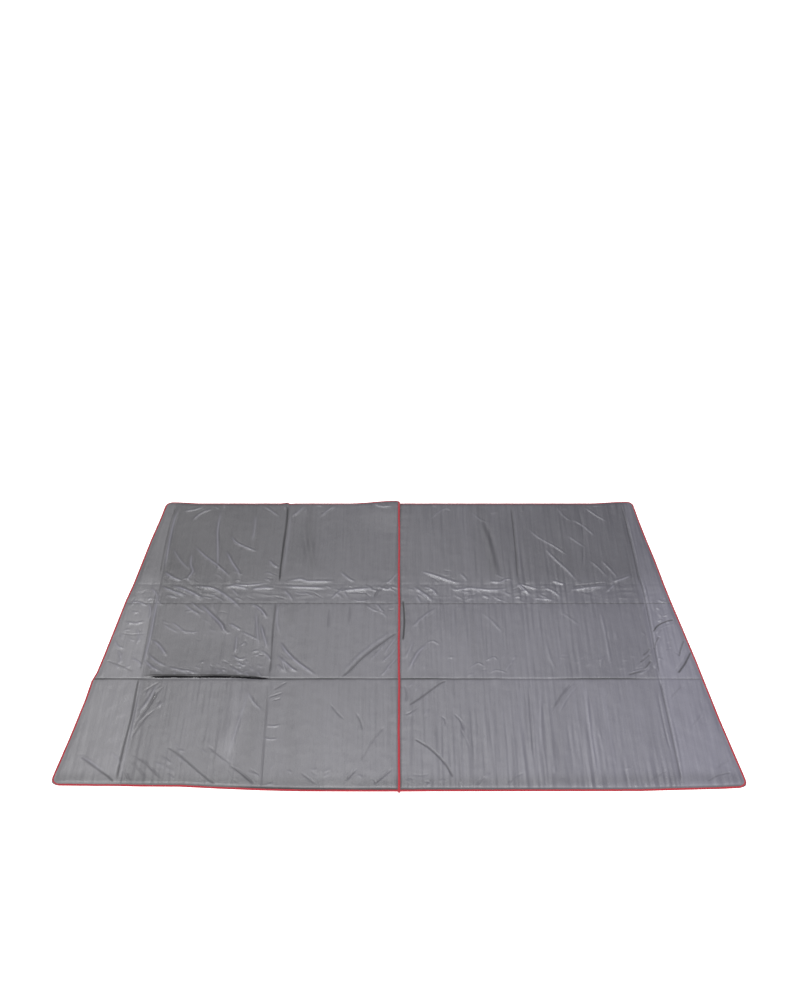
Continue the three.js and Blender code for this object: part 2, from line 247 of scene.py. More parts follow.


# ---- the strokes: R ridge, D valley, S step; (points in the 800 x 1000 frame, height in mm, width in mm, and where given the strength of painted shade along it)
STROKES = [
    # far row, left half: the flap fold, the quarter fold and the creases between them
    ("R", [(180.6, 506), (175, 519), (170.6, 538), (167, 557), (164, 572)], 1.5, 5),
    ("D", [(176.8, 506), (171.2, 521), (166.8, 540), (163.2, 557), (160.2, 575)], 0.7, 3.5, 0.35),
    ("D", [(288, 505), (287.2, 520), (284.8, 538), (281, 566), (279.6, 583)], 1.3, 3.6, 0.85),
    ("R", [(291.5, 507), (288.5, 538), (284.5, 566), (282.5, 581)], 0.5, 6),
    ("R", [(222, 508), (218, 530), (218, 549), (218, 576)], 1.3, 5),
    ("R", [(193, 545), (204, 556), (217, 566), (233, 580)], 1.3, 5),
    ("R", [(226, 551), (232, 563), (238, 572), (240, 579)], 1.5, 5),
    ("R", [(231, 536), (236, 543), (246, 548), (259, 553)], 1.2, 5),
    ("R", [(192, 552), (191, 565), (193, 572), (188, 580), (195, 582)], 1.2, 5),
    ("R", [(164, 572), (172, 578), (183, 582)], 1.6, 6),
    ("R", [(172, 548), (181, 562), (192, 572)], 0.8, 5),
    ("R", [(192, 522), (201, 514), (214, 509)], 0.8, 5),
    ("R", [(183, 512), (196, 510), (205, 506)], 0.7, 5),
    ("R", [(252, 544), (255, 528), (256, 514)], 0.7, 6),
    ("R", [(268, 560), (274, 566), (280, 569)], 0.9, 5),
    ("R", [(263, 506), (272, 512), (280, 518)], 0.7, 5),
    ("R", [(305, 506), (299, 512), (291, 518)], 0.8, 6),
    ("R", [(320, 518), (329, 510), (337, 506)], 0.7, 5),
    ("R", [(340, 572), (348, 579), (356, 583)], 0.9, 5),
    ("R", [(386, 585), (394, 578), (399, 572)], 0.9, 5),
    ("R", [(372, 504), (382, 508), (394, 507)], 0.9, 6),
    ("S", [(307, 508), (307, 536), (311, 562), (312, 581)], 0.7, 16),
    ("D", [(345, 506), (344, 530), (343, 556)], 0.4, 5),
    # the band between the far fold and the stitched line, left half
    ("R", [(171, 586), (186, 591), (205, 600)], 2.2, 7),
    ("R", [(161, 587), (173, 592), (186, 598)], 1.5, 5),
    ("R", [(192, 587), (205, 588), (217, 591), (233, 602), (242, 611)], 1.6, 6),
    ("R", [(225, 588), (234, 587), (250, 590)], 1.6, 6),
    ("R", [(229, 584), (245, 586), (268, 584)], 1.2, 5),
    ("R", [(199, 603), (210, 614), (221, 625), (225, 632), (233, 634)], 2.4, 6),
    ("R", [(183, 604), (192, 611), (201, 616)], 1.2, 5),
    ("R", [(190, 602), (197, 608), (206, 614)], 1.0, 4),
    ("R", [(229, 624), (241, 631)], 1.6, 5),
    ("R", [(286, 582), (300, 580), (309, 582), (336, 582)], 1.3, 6),
    ("R", [(250, 590), (262, 589), (275, 589)], 1.4, 6),
    ("R", [(283, 587), (298, 588), (329, 589)], 1.5, 6),
    ("R", [(340, 592), (360, 590), (376, 589)], 1.6, 7),
    ("R", [(376, 587), (388, 590), (393, 585)], 1.0, 5),
    ("D", [(373, 600), (378, 592), (389, 582)], 1.2, 5),
    ("R", [(331, 600), (338, 594), (344, 588)], 1.0, 5),
    ("R", [(283, 590), (289, 596), (293, 602)], 0.9, 5),
    ("R", [(150, 588), (156, 594), (158, 602)], 1.0, 5),
    ("R", [(152, 598), (158, 602), (162, 607)], 0.8, 4),
    # far row and the band, right half
    ("R", [(419, 571), (437, 577), (452, 582), (464, 584)], 1.3, 6),
    ("R", [(413, 587), (423, 594), (433, 602)], 1.5, 6),
    ("R", [(423, 587), (432, 590), (438, 597)], 1.1, 5),
    ("R", [(449, 585), (455, 590), (472, 589), (493, 591), (513, 588)], 1.5, 6),
    ("R", [(488, 582), (500, 583), (507, 580), (514, 581)], 1.2, 5),
    ("R", [(517, 584), (524, 590), (530, 596)], 1.9, 5),
    ("R", [(517, 584), (530, 588), (540, 590)], 1.2, 5),
    ("R", [(552, 581), (559, 584), (566, 585)], 1.2, 5),
    ("R", [(543, 588), (553, 592), (560, 598)], 1.2, 5),
    ("R", [(532, 599), (545, 600), (556, 601)], 1.0, 5),
    ("R", [(568, 591), (589, 589), (609, 587)], 1.5, 6),
    ("D", [(568, 587), (589, 585), (609, 583)], 1.0, 5),
    ("R", [(612, 583), (623, 580), (632, 576)], 1.4, 6),
    ("R", [(607, 593), (615, 585)], 1.1, 5),
    ("D", [(511, 507), (515, 544), (518, 580)], 0.8, 3.6, 0.5),
    ("R", [(514, 507), (518, 544), (521, 580)], 0.6, 4.5),
    ("D", [(621.5, 506), (627.5, 530), (634.5, 559), (639.5, 584)], 0.9, 3.6, 0.45),
    ("R", [(624, 506), (630, 530), (637, 559), (642, 584)], 0.7, 4),
    ("R", [(527, 528), (538, 538), (554, 547), (569, 557)], 1.2, 5),
    ("R", [(543, 547), (554, 559), (567, 571), (579, 584)], 1.4, 5.5),
    ("R", [(567, 536), (577, 543), (586, 549)], 1.0, 5),
    ("R", [(571, 520), (582, 526), (596, 538)], 1.2, 5),
    ("R", [(583, 507), (596, 516), (608, 523)], 1.1, 5),
    ("D", [(579, 509), (583, 533), (583, 576)], 0.5, 5),
    ("S", [(500, 581), (491, 545), (480, 514)], 0.7, 16),
    ("R", [(431, 520), (440, 512), (452, 507)], 0.8, 5),
    ("R", [(470, 512), (480, 520), (490, 524)], 0.6, 5),
    ("R", [(556, 507), (563, 516), (572, 523)], 0.7, 5),
    ("R", [(600, 560), (611, 571), (618, 580)], 0.9, 5),
    ("R", [(588, 560), (600, 570), (608, 579)], 0.7, 5),
    # the middle row, left half
    ("R", [(161, 587), (156, 608), (153, 624), (150, 639), (146, 656), (143, 672)], 1.7, 5),
    ("D", [(157.2, 587), (152.3, 610), (147.2, 637), (140, 673)], 0.8, 3.5, 0.4),
    ("D", [(133, 672), (121, 666), (107, 661)], 0.8, 4, 0.3),
    ("R", [(151, 640), (159, 646), (167, 657)], 1.8, 5.5),
    ("R", [(144, 660), (152, 668), (161, 673)], 1.3, 5),
    ("R", [(147, 654), (156, 662), (168, 668)], 1.0, 5),
    ("R", [(168, 668), (180, 671), (188, 674)], 1.0, 5),
    ("R", [(181, 671), (189, 672), (196, 675)], 1.1, 4),
    ("R", [(128, 604), (138, 603), (149, 607)], 1.1, 5),
    ("R", [(149, 603), (151, 612), (149, 621)], 1.0, 5),
    ("R", [(124, 622), (134, 624), (146, 622)], 0.9, 5),
    ("D", [(120, 633), (132, 635), (146, 634)], 0.9, 5),
    ("R", [(137, 628), (139, 639), (136, 645)], 0.9, 5),
    ("R", [(114, 640), (118, 647), (125, 649)], 1.0, 5),
    ("R", [(118, 650), (121, 658), (120, 664)], 0.7, 5),
    ("R", [(131, 658), (139, 663), (142, 668)], 1.0, 4),
    ("R", [(171, 622), (180, 629), (188, 635)], 1.0, 4),
    ("R", [(162, 624), (172, 630), (180, 634)], 0.7, 4),
    ("R", [(178, 630), (190, 633), (200, 632)], 0.6, 5),
    ("R", [(250, 604), (260, 610), (268, 620)], 1.6, 5),
    ("R", [(260, 623), (264, 637), (268, 651)], 1.2, 5),
    ("R", [(256, 608), (257, 626), (259, 650)], 0.8, 5),
    ("R", [(259, 650), (268, 657), (271, 664)], 0.8, 4),
    ("R", [(237, 634), (236, 648), (234, 655)], 0.8, 5),
    ("R", [(232, 656), (240, 660), (247, 658)], 0.9, 4),
    ("R", [(236, 662), (243, 666), (246, 664)], 0.8, 4),
    ("R", [(231, 668), (239, 673), (246, 675)], 0.9, 4),
    ("R", [(240, 632), (251, 637), (260, 642)], 0.7, 4),
    ("D", [(276, 602), (273.4, 627), (271.2, 661), (269.5, 676)], 0.8, 3.6, 0.5),
    ("R", [(279, 602), (277, 620), (280, 636)], 0.9, 5),
    ("R", [(279, 641), (286, 652), (296, 662), (304, 668), (317, 677)], 1.7, 5.5),
    ("R", [(280, 658), (290, 668), (298, 673)], 1.3, 5),
    ("R", [(277, 655), (283, 664), (286, 674)], 0.8, 4),
    ("D", [(341, 678), (350, 671), (363, 658), (384, 642), (399, 632)], 1.1, 5, 0.45),
    ("R", [(339, 675), (348, 668), (361, 655), (382, 639), (398, 629)], 0.5, 6),
    ("R", [(398, 636), (389, 648), (384, 656)], 0.9, 4),
    ("R", [(398, 645), (391, 655), (381, 664)], 0.9, 4),
    ("R", [(399, 655), (392, 664), (384, 673)], 0.9, 4),
    ("R", [(393, 667), (386, 672), (381, 677)], 0.8, 4),
    ("R", [(390, 641), (380, 651), (370, 662)], 0.6, 4),
    ("D", [(330, 605), (328, 631)], 0.7, 5),
    ("D", [(351, 603), (349, 627)], 0.7, 5),
    ("R", [(374, 603), (380, 609), (384, 616)], 0.8, 4),
    ("R", [(366, 606), (374, 611), (380, 612)], 0.7, 4),
    # the middle row, right half
    ("D", [(403, 600), (404.2, 616), (404.2, 626), (403, 642)], 0.7, 4.5, 0.9),
    ("R", [(411, 630), (422, 619), (437, 608)], 1.4, 6),
    ("R", [(408, 673), (418, 654), (430, 643)], 1.3, 6),
    ("R", [(425, 645), (433, 642), (440, 646)], 0.8, 5),
    ("R", [(405, 660), (410, 650), (414, 640)], 0.7, 5),
    ("R", [(470, 669), (478, 664), (486, 668)], 0.8, 4),
    ("R", [(486, 662), (494, 658), (498, 662)], 0.8, 4),
    ("R", [(505, 672), (511, 664), (515, 657)], 0.8, 4),
    ("R", [(489, 674), (497, 671), (508, 674)], 0.8, 4),
    ("R", [(599, 606), (605, 634), (611, 668)], 0.9, 5),
    ("R", [(560, 612), (571, 620), (582, 628)], 0.5, 6),
    ("R", [(480, 612), (492, 622), (503, 634)], 0.7, 6),
    ("R", [(546, 640), (550, 658), (556, 672)], 0.6, 6),
    ("D", [(637, 570), (644, 595), (651, 630), (656, 657), (660, 677)], 0.9, 3.6, 0.4),
    ("R", [(639.5, 570), (646.5, 595), (653.5, 630), (658.5, 657), (662.5, 677)], 0.7, 4),
    ("D", [(674, 620), (664, 623), (657, 627), (653, 633)], 1.2, 4, 0.75),
    ("R", [(676, 624), (666, 627), (659, 631), (655, 638)], 1.3, 5),
    ("D", [(654, 650), (656, 643), (659, 637)], 0.9, 4, 0.5),
    ("D", [(684, 641), (681, 649), (679, 657)], 0.8, 4, 0.5),
    ("D", [(628, 675.5), (640, 672), (647, 667), (651, 661)], 0.9, 4, 0.6),
    ("R", [(638, 675.5), (647, 671.5), (652, 666)], 1.5, 5),
    ("D", [(643, 656), (648, 652), (650, 649)], 0.7, 4, 0.45),
    ("D", [(640, 663), (646, 659), (650, 655)], 0.7, 4, 0.45),
    ("R", [(652, 650), (658, 644), (660, 638)], 1.0, 5),
    ("D", [(691, 652), (685, 664), (678, 674)], 1.2, 4.5, 0.75),
    ("R", [(688, 650), (682, 661), (674, 672)], 1.2, 5),
    ("R", [(627, 674), (646, 669), (652, 662)], 1.5, 5),
    ("R", [(640, 660), (648, 655), (651, 648)], 1.0, 5),
    ("R", [(634, 670), (644, 662), (650, 655)], 0.8, 4),
    ("R", [(643, 612), (646, 602), (645, 595)], 0.8, 5),
    ("R", [(656, 600), (664, 603), (671, 604)], 0.7, 5),
    # the near row, left half
    ("D", [(139.5, 676), (136.5, 690), (131, 719), (124, 746), (116, 782)], 1.4, 3.6, 0.75),
    ("R", [(143, 676), (140, 689), (134.6, 719), (127.6, 746), (119.6, 781)], 0.4, 5),
    ("D", [(114, 783), (108, 777), (101, 772), (90, 764), (80, 757)], 1.0, 4.2, 0.6),
    ("R", [(76, 756), (90, 762), (104, 774)], 0.7, 6),
    ("D", [(134, 726), (150, 705), (160, 687)], 1.3, 5),
    ("D", [(131, 739), (144, 720), (155, 710)], 1.0, 5),
    ("R", [(137, 716), (149, 700), (158, 683)], 0.7, 5),
    ("D", [(141, 694), (150, 688), (160, 682)], 0.6, 4),
    ("D", [(129, 753), (145, 763), (163, 781)], 0.9, 5),
    ("D", [(216, 786), (200, 773), (179, 755), (166, 747)], 0.7, 4.5, 0.35),
    ("D", [(128, 758), (140, 771), (147, 781)], 0.7, 5),
    ("D", [(123, 768), (127, 776), (131, 782)], 0.6, 4),
    ("R", [(110, 752), (118, 760), (122, 768)], 0.6, 4),
    ("R", [(236, 684), (240, 698), (233, 722), (221, 764)], 1.1, 30),
    ("R", [(241, 686), (246, 698), (239, 722), (226, 762)], 0.55, 6),
    ("D", [(228, 764), (242, 774), (256, 786)], 1.2, 5),
    ("D", [(205, 744), (221, 757), (236, 768)], 0.6, 5),
    ("R", [(246, 690), (253, 702), (262, 712)], 0.7, 5),
    ("D", [(273, 691), (287, 682)], 1.1, 4),
    ("D", [(268, 698), (283, 693)], 1.0, 4),
    ("D", [(272, 701), (281, 699)], 0.8, 4),
    ("D", [(268, 682), (267, 703), (264, 741), (261, 785)], 0.35, 3.6, 0.22),
    ("R", [(265, 726), (274, 727), (281, 725)], 0.6, 4),
    ("R", [(262, 738), (270, 740), (279, 739)], 0.6, 4),
    ("D", [(361, 761), (373, 741), (384, 727)], 0.4, 5, 0.15),
    ("D", [(330, 704), (338, 714), (345, 721)], 0.6, 5),
    ("D", [(355, 712), (361, 722), (363, 732)], 0.5, 5),
    ("D", [(345, 782), (352, 774), (358, 768)], 0.6, 5),
    ("D", [(372, 786), (384, 776), (394, 768)], 0.7, 5),
    ("D", [(300, 772), (310, 780), (318, 786)], 0.6, 5),
    # the near row, right half
    ("D", [(409, 706), (425, 695), (440, 684), (447, 681)], 0.9, 4.5, 0.45),
    ("D", [(403, 716), (412, 712), (420, 706)], 0.7, 4),
    ("D", [(404, 684), (407, 694), (406, 704)], 0.7, 5),
    ("D", [(454, 779), (445, 764), (430, 749), (414, 739)], 0.9, 4.5, 0.45),
    ("D", [(453, 713), (461, 722), (465, 734)], 0.8, 4),
    ("D", [(460, 728), (466, 740), (470, 750)], 0.5, 4),
    ("D", [(440, 716), (445, 720), (446, 727)], 0.6, 4),
    ("D", [(574, 681), (561, 697), (552, 713)], 1.2, 5),
    ("R", [(580, 683), (567, 699), (558, 715)], 0.9, 5),
    ("R", [(585, 686), (590, 727), (597, 778)], 1.1, 5),
    ("R", [(597, 722), (603, 751), (607, 780)], 0.9, 5),
    ("R", [(541, 684), (541, 737), (543, 760)], 0.8, 5),
    ("D", [(528, 681), (531, 722), (534, 763)], 0.7, 5),
    ("D", [(659.5, 680), (662.5, 694), (670.5, 730), (681.5, 783)], 0.9, 3.6, 0.45),
    ("R", [(662.5, 665), (665.5, 694), (673.5, 730), (684.5, 783)], 0.6, 4),
    ("D", [(657, 690), (663, 722), (671, 755)], 0.7, 4),
    ("D", [(731, 773), (718, 776), (708, 782)], 0.6, 4, 0.3),
    ("D", [(716, 770), (724, 764), (733, 758)], 0.7, 5),
    ("D", [(690, 730), (698, 720), (704, 712)], 0.6, 5),
    ("D", [(670, 700), (677, 692), (684, 684)], 0.8, 5),
    ("D", [(650, 783), (658, 776), (668, 770)], 0.7, 5),
    ("D", [(505, 786), (515, 778), (526, 772)], 0.6, 5),
    ("D", [(476, 786), (482, 780), (486, 776)], 0.5, 5),
    ("D", [(412, 775), (422, 776), (430, 774)], 0.5, 5),
]

# ---- the whole field, in metres above the padded height
rng_seed = 11
# slow swells of the padding, and fine pleats that run from the near edge to the far one
field += 0.00055 * noise(0.16, 0.20, 1)
pleats = noise(0.0058, 0.12, 2)
pleats_fine = noise(0.0036, 0.06, 3)
where = smooth(0.5 + 0.45 * noise(0.14, 0.16, 4))          # patches where the pleats are strong
left_less = 1 - 0.55 * smooth(-XX / 0.1) * smooth((YY + 0.42) / 0.12)
where = where * left_less * (1 - 0.75 * smooth((np.abs(XX) - FOLD_FLAP + 0.02) / 0.04)) * (1 - 0.35 * smooth((YY - 0.32) / 0.06))
field += 0.00036 * pleats * where + 0.00011 * pleats_fine * left_less
field += 0.00009 * noise(0.012, 0.012, 5)
# crumpled facets where the cloth is loose: the band behind the stitched line, and the flaps
loose = np.exp(-0.5 * ((YY - 0.267) / 0.060) ** 2) + 0.8 * smooth((np.abs(XX) - FOLD_FLAP + 0.01) / 0.05) + 0.25
field -= 0.00016 * np.abs(noise(0.016, 0.024, 6)) * np.clip(loose, 0, 1)
field -= 0.00045 * np.abs(noise(0.030, 0.012, 7)) * np.exp(-0.5 * ((YY - 0.270) / 0.055) ** 2)

# short pleats square to each seam, dying away from it
def puckers(centre, reach, amp, seed, grain=0.010, sides=(1, 1)):
    global field
    d = YY - centre
    fall = np.exp(-np.abs(d) / reach) * np.where(d > 0, sides[1], sides[0])
    field += amp * noise(grain, 0.05, seed) * fall

puckers(-FOLD_ROW, 0.030, 0.00030, 21)
puckers(FOLD_ROW, 0.035, 0.00040, 22)
puckers(SEAM_Y, 0.022, 0.00050, 23, grain=0.007)
puckers(-DEPTH / 2, 0.050, 0.00035, 24, grain=0.009)
puckers(DEPTH / 2, 0.050, 0.00030, 25, grain=0.009)
# the same beside the centre seam and the two slanted ends
field += 0.00030 * noise(0.05, 0.009, 26) * np.exp(-np.abs(XX) / 0.030)
end_gap = np.maximum(half_width(YY) - np.abs(XX), 0)
field += 0.00022 * noise(0.05, 0.010, 27) * np.exp(-end_gap / 0.030)
field += 0.00022 * noise(0.045, 0.030, 28) * smooth((np.abs(XX) - FOLD_FLAP) / 0.05)      # the flaps are softer

# the two folds into thirds, the stitched line, and the lengthwise folds
def groove_y(centre, depth, width, power=1.0):
    return -depth * np.exp(-0.5 * (np.abs(YY - centre) / width) ** 2)

field += groove_y(-FOLD_ROW, 0.0013, 0.0045)
field += groove_y(FOLD_ROW, 0.0004, 0.006)
stitches = 0.85 + 0.15 * np.sin(2 * math.pi * XX / 0.034 + 2.0 * noise(0.05, 0.05, 31))
field += groove_y(SEAM_Y, 0.0006, 0.0040) * stitches
for x0, depth in ((-FOLD_FLAP, 0.0008), (-FOLD_QUARTER, 0.0006), (FOLD_QUARTER, 0.0005), (FOLD_FLAP, 0.0007)):
    field += -depth * np.exp(-0.5 * (np.abs(XX - x0) / 0.004) ** 2)
single = np.interp(XX, [-1.22, -1.14, -0.72, -0.62], [1.0, 0.0, 0.0, 1.0])        # painted shade: one dark line at the left, the lip's
painted_shade = np.maximum(painted_shade, single * np.clip(0.62 + 0.22 * noise(0.06, 0.06, 34), 0.3, 1.0) * np.exp(-0.5 * ((YY + FOLD_ROW) / 0.0034) ** 2))
# painted shade along the stitched line
painted_shade = np.maximum(painted_shade, 0.62 * np.exp(-0.5 * ((YY - SEAM_Y) / 0.0030) ** 2) * stitches)

# valleys and steps get painted shade along them: the fifth entry where given, else a little by their depth
for kind, px, amp, width, *dark in STROKES:
    if kind == "R" and px[0][0] > 408 and (px[0][1] > 604 or px[0][1] < 566 and len(px) == 3 or px[0][0] > 520 and px[0][1] < 566):
        amp, width = 0.62 * amp, 0.85 * width       # the right half lies flatter
    stroke(px, amp, width, kind, taper=0.08 if dark else 0.3, dark=dark[0] if dark else min(0.35, 0.22 * amp) if kind in "DS" else 0.0)

# many short creases where the cloth is gathered: (frame window, how many, lean, how much it varies, length, height)
SHORT = [
    ((165, 586, 395, 602), 30, 0.42, 0.25, (8, 17), (0.45, 1.00)),
    ((408, 586, 640, 602), 24, 0.25, 0.35, (8, 17), (0.40, 0.95)),
    ((414, 571, 520, 582), 6, 0.25, 0.2, (8, 16), (0.4, 0.8)),
    ((166, 572, 280, 583), 10, 0.30, 0.3, (7, 14), (0.4, 0.8)),
    ((126, 590, 150, 606), 7, 0.6, 0.8, (5, 9), (0.5, 0.9)),
    ((116, 608, 146, 668), 15, 0.2, 0.9, (5, 12), (0.35, 0.75)),
    ((152, 662, 262, 675), 24, 0.75, 0.35, (4, 9), (0.35, 0.75)),
    ((232, 640, 264, 676), 12, 0.35, 0.8, (5, 11), (0.4, 0.9)),
    ((276, 640, 300, 676), 5, 0.9, 0.2, (7, 13), (0.4, 0.7)),
    ((165, 606, 225, 640), 9, 0.6, 0.3, (6, 13), (0.3, 0.6)),
    ((655, 590, 684, 674), 10, -0.3, 0.8, (5, 11), (0.35, 0.7)),
    ((600, 606, 655, 676), 7, 1.1, 0.5, (7, 14), (0.25, 0.5)),
    ((380, 604, 399, 618), 5, 0.8, 0.3, (4, 8), (0.3, 0.6)),
    ((404, 655, 520, 676), 9, -0.8, 0.5, (4, 9), (0.3, 0.55)),
    ((143, 684, 166, 712), 6, -1.2, 0.3, (7, 14), (0.3, 0.6)),
    ((125, 745, 260, 784), 14, 0.75, 0.2, (9, 20), (0.25, 0.50)),
    ((262, 768, 398, 786), 9, 0.3, 0.9, (6, 12), (0.3, 0.55)),
    ((404, 768, 640, 786), 10, -0.2, 0.9, (6, 12), (0.25, 0.5)),
    ((404, 684, 440, 716), 5, -0.8, 0.3, (6, 12), (0.3, 0.6)),
    ((190, 506, 390, 514), 8, 0.6, 0.7, (5, 9), (0.3, 0.5)),
    ((410, 506, 620, 514), 8, -0.5, 0.7, (5, 9), (0.3, 0.5)),
    ((548, 655, 648, 675), 12, -0.4, 0.4, (8, 15), (0.20, 0.40)),
    ((655, 600, 684, 670), 8, -0.5, 0.5, (6, 12), (0.5, 0.9)),
]
picks = np.random.default_rng(77)
for (u0, v0, u1, v1), count, lean, vary, (l0, l1), (a0, a1) in SHORT:
    for _ in range(count):
        u, v = picks.uniform(u0, u1), picks.uniform(v0, v1)
        slope = math.atan(lean) + vary * picks.normal()
        half = 0.5 * picks.uniform(l0, l1)
        du, dv = half * math.cos(slope), half * math.sin(slope)
        bow = picks.normal() * 0.12 * half
        pts = [(u - du, v - dv), (u - bow * math.sin(slope), v + bow * math.cos(slope)), (u + du, v + dv)]
        # each short crease also gets a little painted shade along it
        stroke(pts, picks.uniform(a0, a1), picks.uniform(3.4, 5.2), "R" if picks.random() < 0.72 else "D", taper=0.45,
               dark=0.12)

# the middle row's near edge lifts over the near row: most at the left, a little at the right of the centre
lift = np.interp(XX, [-1.30, -1.20, -1.15, -0.66, -0.60, -0.05, 0.0, 0.02, 0.60, 0.90, 1.02, 1.15, 1.4],
                 [0.0003, 0.0008, 0.0046, 0.0052, 0.0006, 0.0001, 0.0001, 0.0005, 0.0006, 0.0009, 0.0007, 0.0002, 0.0001])
lift = lift * (0.85 + 0.15 * noise(0.03, 0.03, 33))
back = np.interp(XX, [-1.24, -1.16, -0.80, -0.68, -0.58], [0.0, 0.013, 0.012, 0.004, 0.0])      # the lip hangs a little behind the fold line
above = YY + FOLD_ROW - back
field += lift * np.where(above > -0.001, smooth((above + 0.001) / 0.009) * np.exp(-np.maximum(above - 0.008, 0) / 0.030), 0)
field += -0.35 * lift * np.where(above < 0, smooth(-above / 0.002) * np.exp(above / 0.008), 0)
# painted shadow along the foot of the lip; the mask below picks the faces that get the near-black painted-shadow
# material
painted_shade = np.maximum(painted_shade, np.clip(lift / 0.0045, 0, 1) * np.exp(-0.5 * ((above - 0.001) / 0.0030) ** 2))
lip_shadow_mask = np.clip(lift / 0.0030, 0, 1) * np.exp(-0.5 * ((above + 0.0005) / (0.0037 * (1 + 0.10 * noise(0.02, 0.02, 35)))) ** 2)

# the deep shadow under that lip on the left, and the one where the padding bulges over the near tape
for px, dark, width in (
        ([(140, 675.6), (152, 675.8), (172, 676.2), (195, 675.9), (215, 676.3), (228, 676.2), (240, 676.9), (255, 678.0), (264, 679.2), (276, 679.8)], 1.0, 3.0),
        ):
    stroke(px, 0.25, width / NARROW, "D", taper=0.12, wobble=0.0, dark=dark)
near_edge = -DEPTH / 2 - np.interp(XX, NX, NO) + TAPE
how_dark = np.interp(XX, [-1.45, -1.22, -1.1, -0.75, -0.62, -0.30, -0.20, -0.02, 0.03, 0.5, 1.0, 1.2, 1.4], [0.25, 0.25, 0.4, 0.5, 0.9, 1.0, 0.8, 0.9, 0.75, 0.7, 0.55, 0.5, 0.6])
painted_shade = np.maximum(painted_shade, how_dark * np.exp(-0.5 * ((YY - near_edge - 0.002) / 0.0056) ** 2))

# painted sheen: each panel is made a little lighter or darker in colour, as the light falls on it: (near, middle, far)
# rows, from the left flap to the right one
SHEEN = np.array([[1.44, 0.97, 0.90, 0.97, 1.08, 1.30], [1.54, 0.92, 0.96, 1.00, 0.96, 1.38], [1.05, 0.66, 0.83, 0.79, 0.58, 0.96]])
SHEEN_X = [-1.4, -FOLD_FLAP - 0.02, -FOLD_FLAP + 0.02, -0.912, -0.304, 0.304, 0.912, FOLD_FLAP - 0.02, FOLD_FLAP + 0.02, 1.4]
SHEEN_COL = [0, 0, 1, 1, 2, 3, 4, 4, 5, 5]
by_row = [np.interp(XX[0], SHEEN_X, [row[c] for c in SHEEN_COL]) for row in SHEEN]
painted_light_map = np.empty_like(XX)
for i, yy in enumerate(GY):
    stops = [-0.68, -0.36, -0.32, 0.05, 0.25, 0.45, 0.80]
    rows = [by_row[0], 0.9 * by_row[0] + 0.1 * by_row[1], by_row[1] * 0.98, by_row[1], 0.7 * by_row[1] + 0.3 * by_row[2], by_row[2], by_row[2]]
    k = int(np.clip(np.searchsorted(stops, yy), 1, 6))
    t = float(np.clip((yy - stops[k - 1]) / (stops[k] - stops[k - 1]), 0, 1))
    painted_light_map[i] = rows[k - 1] * (1 - t) + rows[k] * t

# soft shadows on both sides of the tape at the centre
painted_shade = np.maximum(painted_shade, 0.30 * np.exp(-0.5 * ((XX + 0.0118) / 0.0022) ** 2))
beside = np.interp(YY, [-1.0, -0.6, -0.36, -0.30, 0.0, 0.2, 0.6, 1.0], [0.60, 0.50, 0.55, 0.45, 0.55, 0.75, 0.35, 0.25])
painted_shade = np.maximum(painted_shade, beside * np.exp(-0.5 * ((XX - 0.0035) / 0.0026) ** 2))


def painted_light_band(px, width, factor):
    """A soft band of painted light, lighter or darker, along a line of the 800 x 1000 frame, with its width in mm."""
    global painted_light_map
    p = np.array([ground(u, v) for u, v in px])
    best = np.full(XX.shape, 9.0)
    for (ax, ay), (bx, by) in zip(p[:-1], p[1:]):
        s2 = (bx - ax) ** 2 + (by - ay) ** 2
        t = np.clip(((XX - ax) * (bx - ax) + (YY - ay) * (by - ay)) / s2, 0, 1)
        best = np.minimum(best, np.hypot(XX - ax - t * (bx - ax), YY - ay - t * (by - ay)))
    painted_light_map *= 1 + factor * np.exp(-0.5 * (best / (width / 1000.0)) ** 2)


# painted sheen and painted shade in soft bands; the darkest runs along the near edge, where the cloth rolls down to the
# tape
for px, width, factor in (
        ([(238, 690), (235, 715), (225, 760)], 24, 0.20), ([(258, 705), (250, 735), (243, 775)], 34, -0.12),
        ([(292, 690), (291, 730), (294, 780)], 20, -0.10), ([(196, 690), (186, 720), (176, 745)], 26, 0.10),
        ([(205, 755), (222, 772)], 30, -0.08), ([(331, 690), (330, 730), (331, 780)], 26, 0.06),
        ([(480, 508), (487, 540), (495, 574)], 20, -0.16), ([(462, 508), (466, 540), (470, 574)], 14, 0.08),
        ([(309, 510), (310, 540), (314, 566)], 16, -0.10), ([(322, 512), (324, 540), (326, 566)], 14, 0.05),
        ([(293, 606), (291, 622)], 18, -0.18), ([(308, 606), (306, 640), (302, 668)], 16, -0.08),
        ([(170, 628), (200, 632), (225, 636)], 26, 0.10), ([(180, 655), (215, 655), (235, 655)], 40, -0.08),
        ([(585, 690), (592, 730), (600, 780)], 9, 0.14), ([(603, 690), (610, 730), (616, 780)], 9, 0.10),
        ([(560, 690), (556, 730), (556, 780)], 30, -0.07), ([(520, 690), (522, 730), (524, 780)], 8, 0.08),
        ([(60, 778), (120, 781), (320, 784), (398, 784)], 24, -0.30), ([(402, 784), (560, 781), (640, 780), (735, 778)], 24, -0.24),
        ([(440, 610), (446, 640), (450, 670)], 26, 0.05), ([(470, 612), (474, 640), (478, 670)], 10, -0.08)):
    painted_light_band(px, width, factor)

EDGE_Z = 0.0034


def edge_distance(x, y):
    """How far a point is inside the plain outline."""
    run = HALF_NEAR - HALF_FAR
    length = math.hypot(DEPTH, run)
    d = np.minimum(DEPTH / 2 - np.abs(y), (half_width(y) - np.abs(x)) * DEPTH / length)
    # the y of the rounded corners' centres
    cy = DEPTH / 2 - CORNER_R
    return d


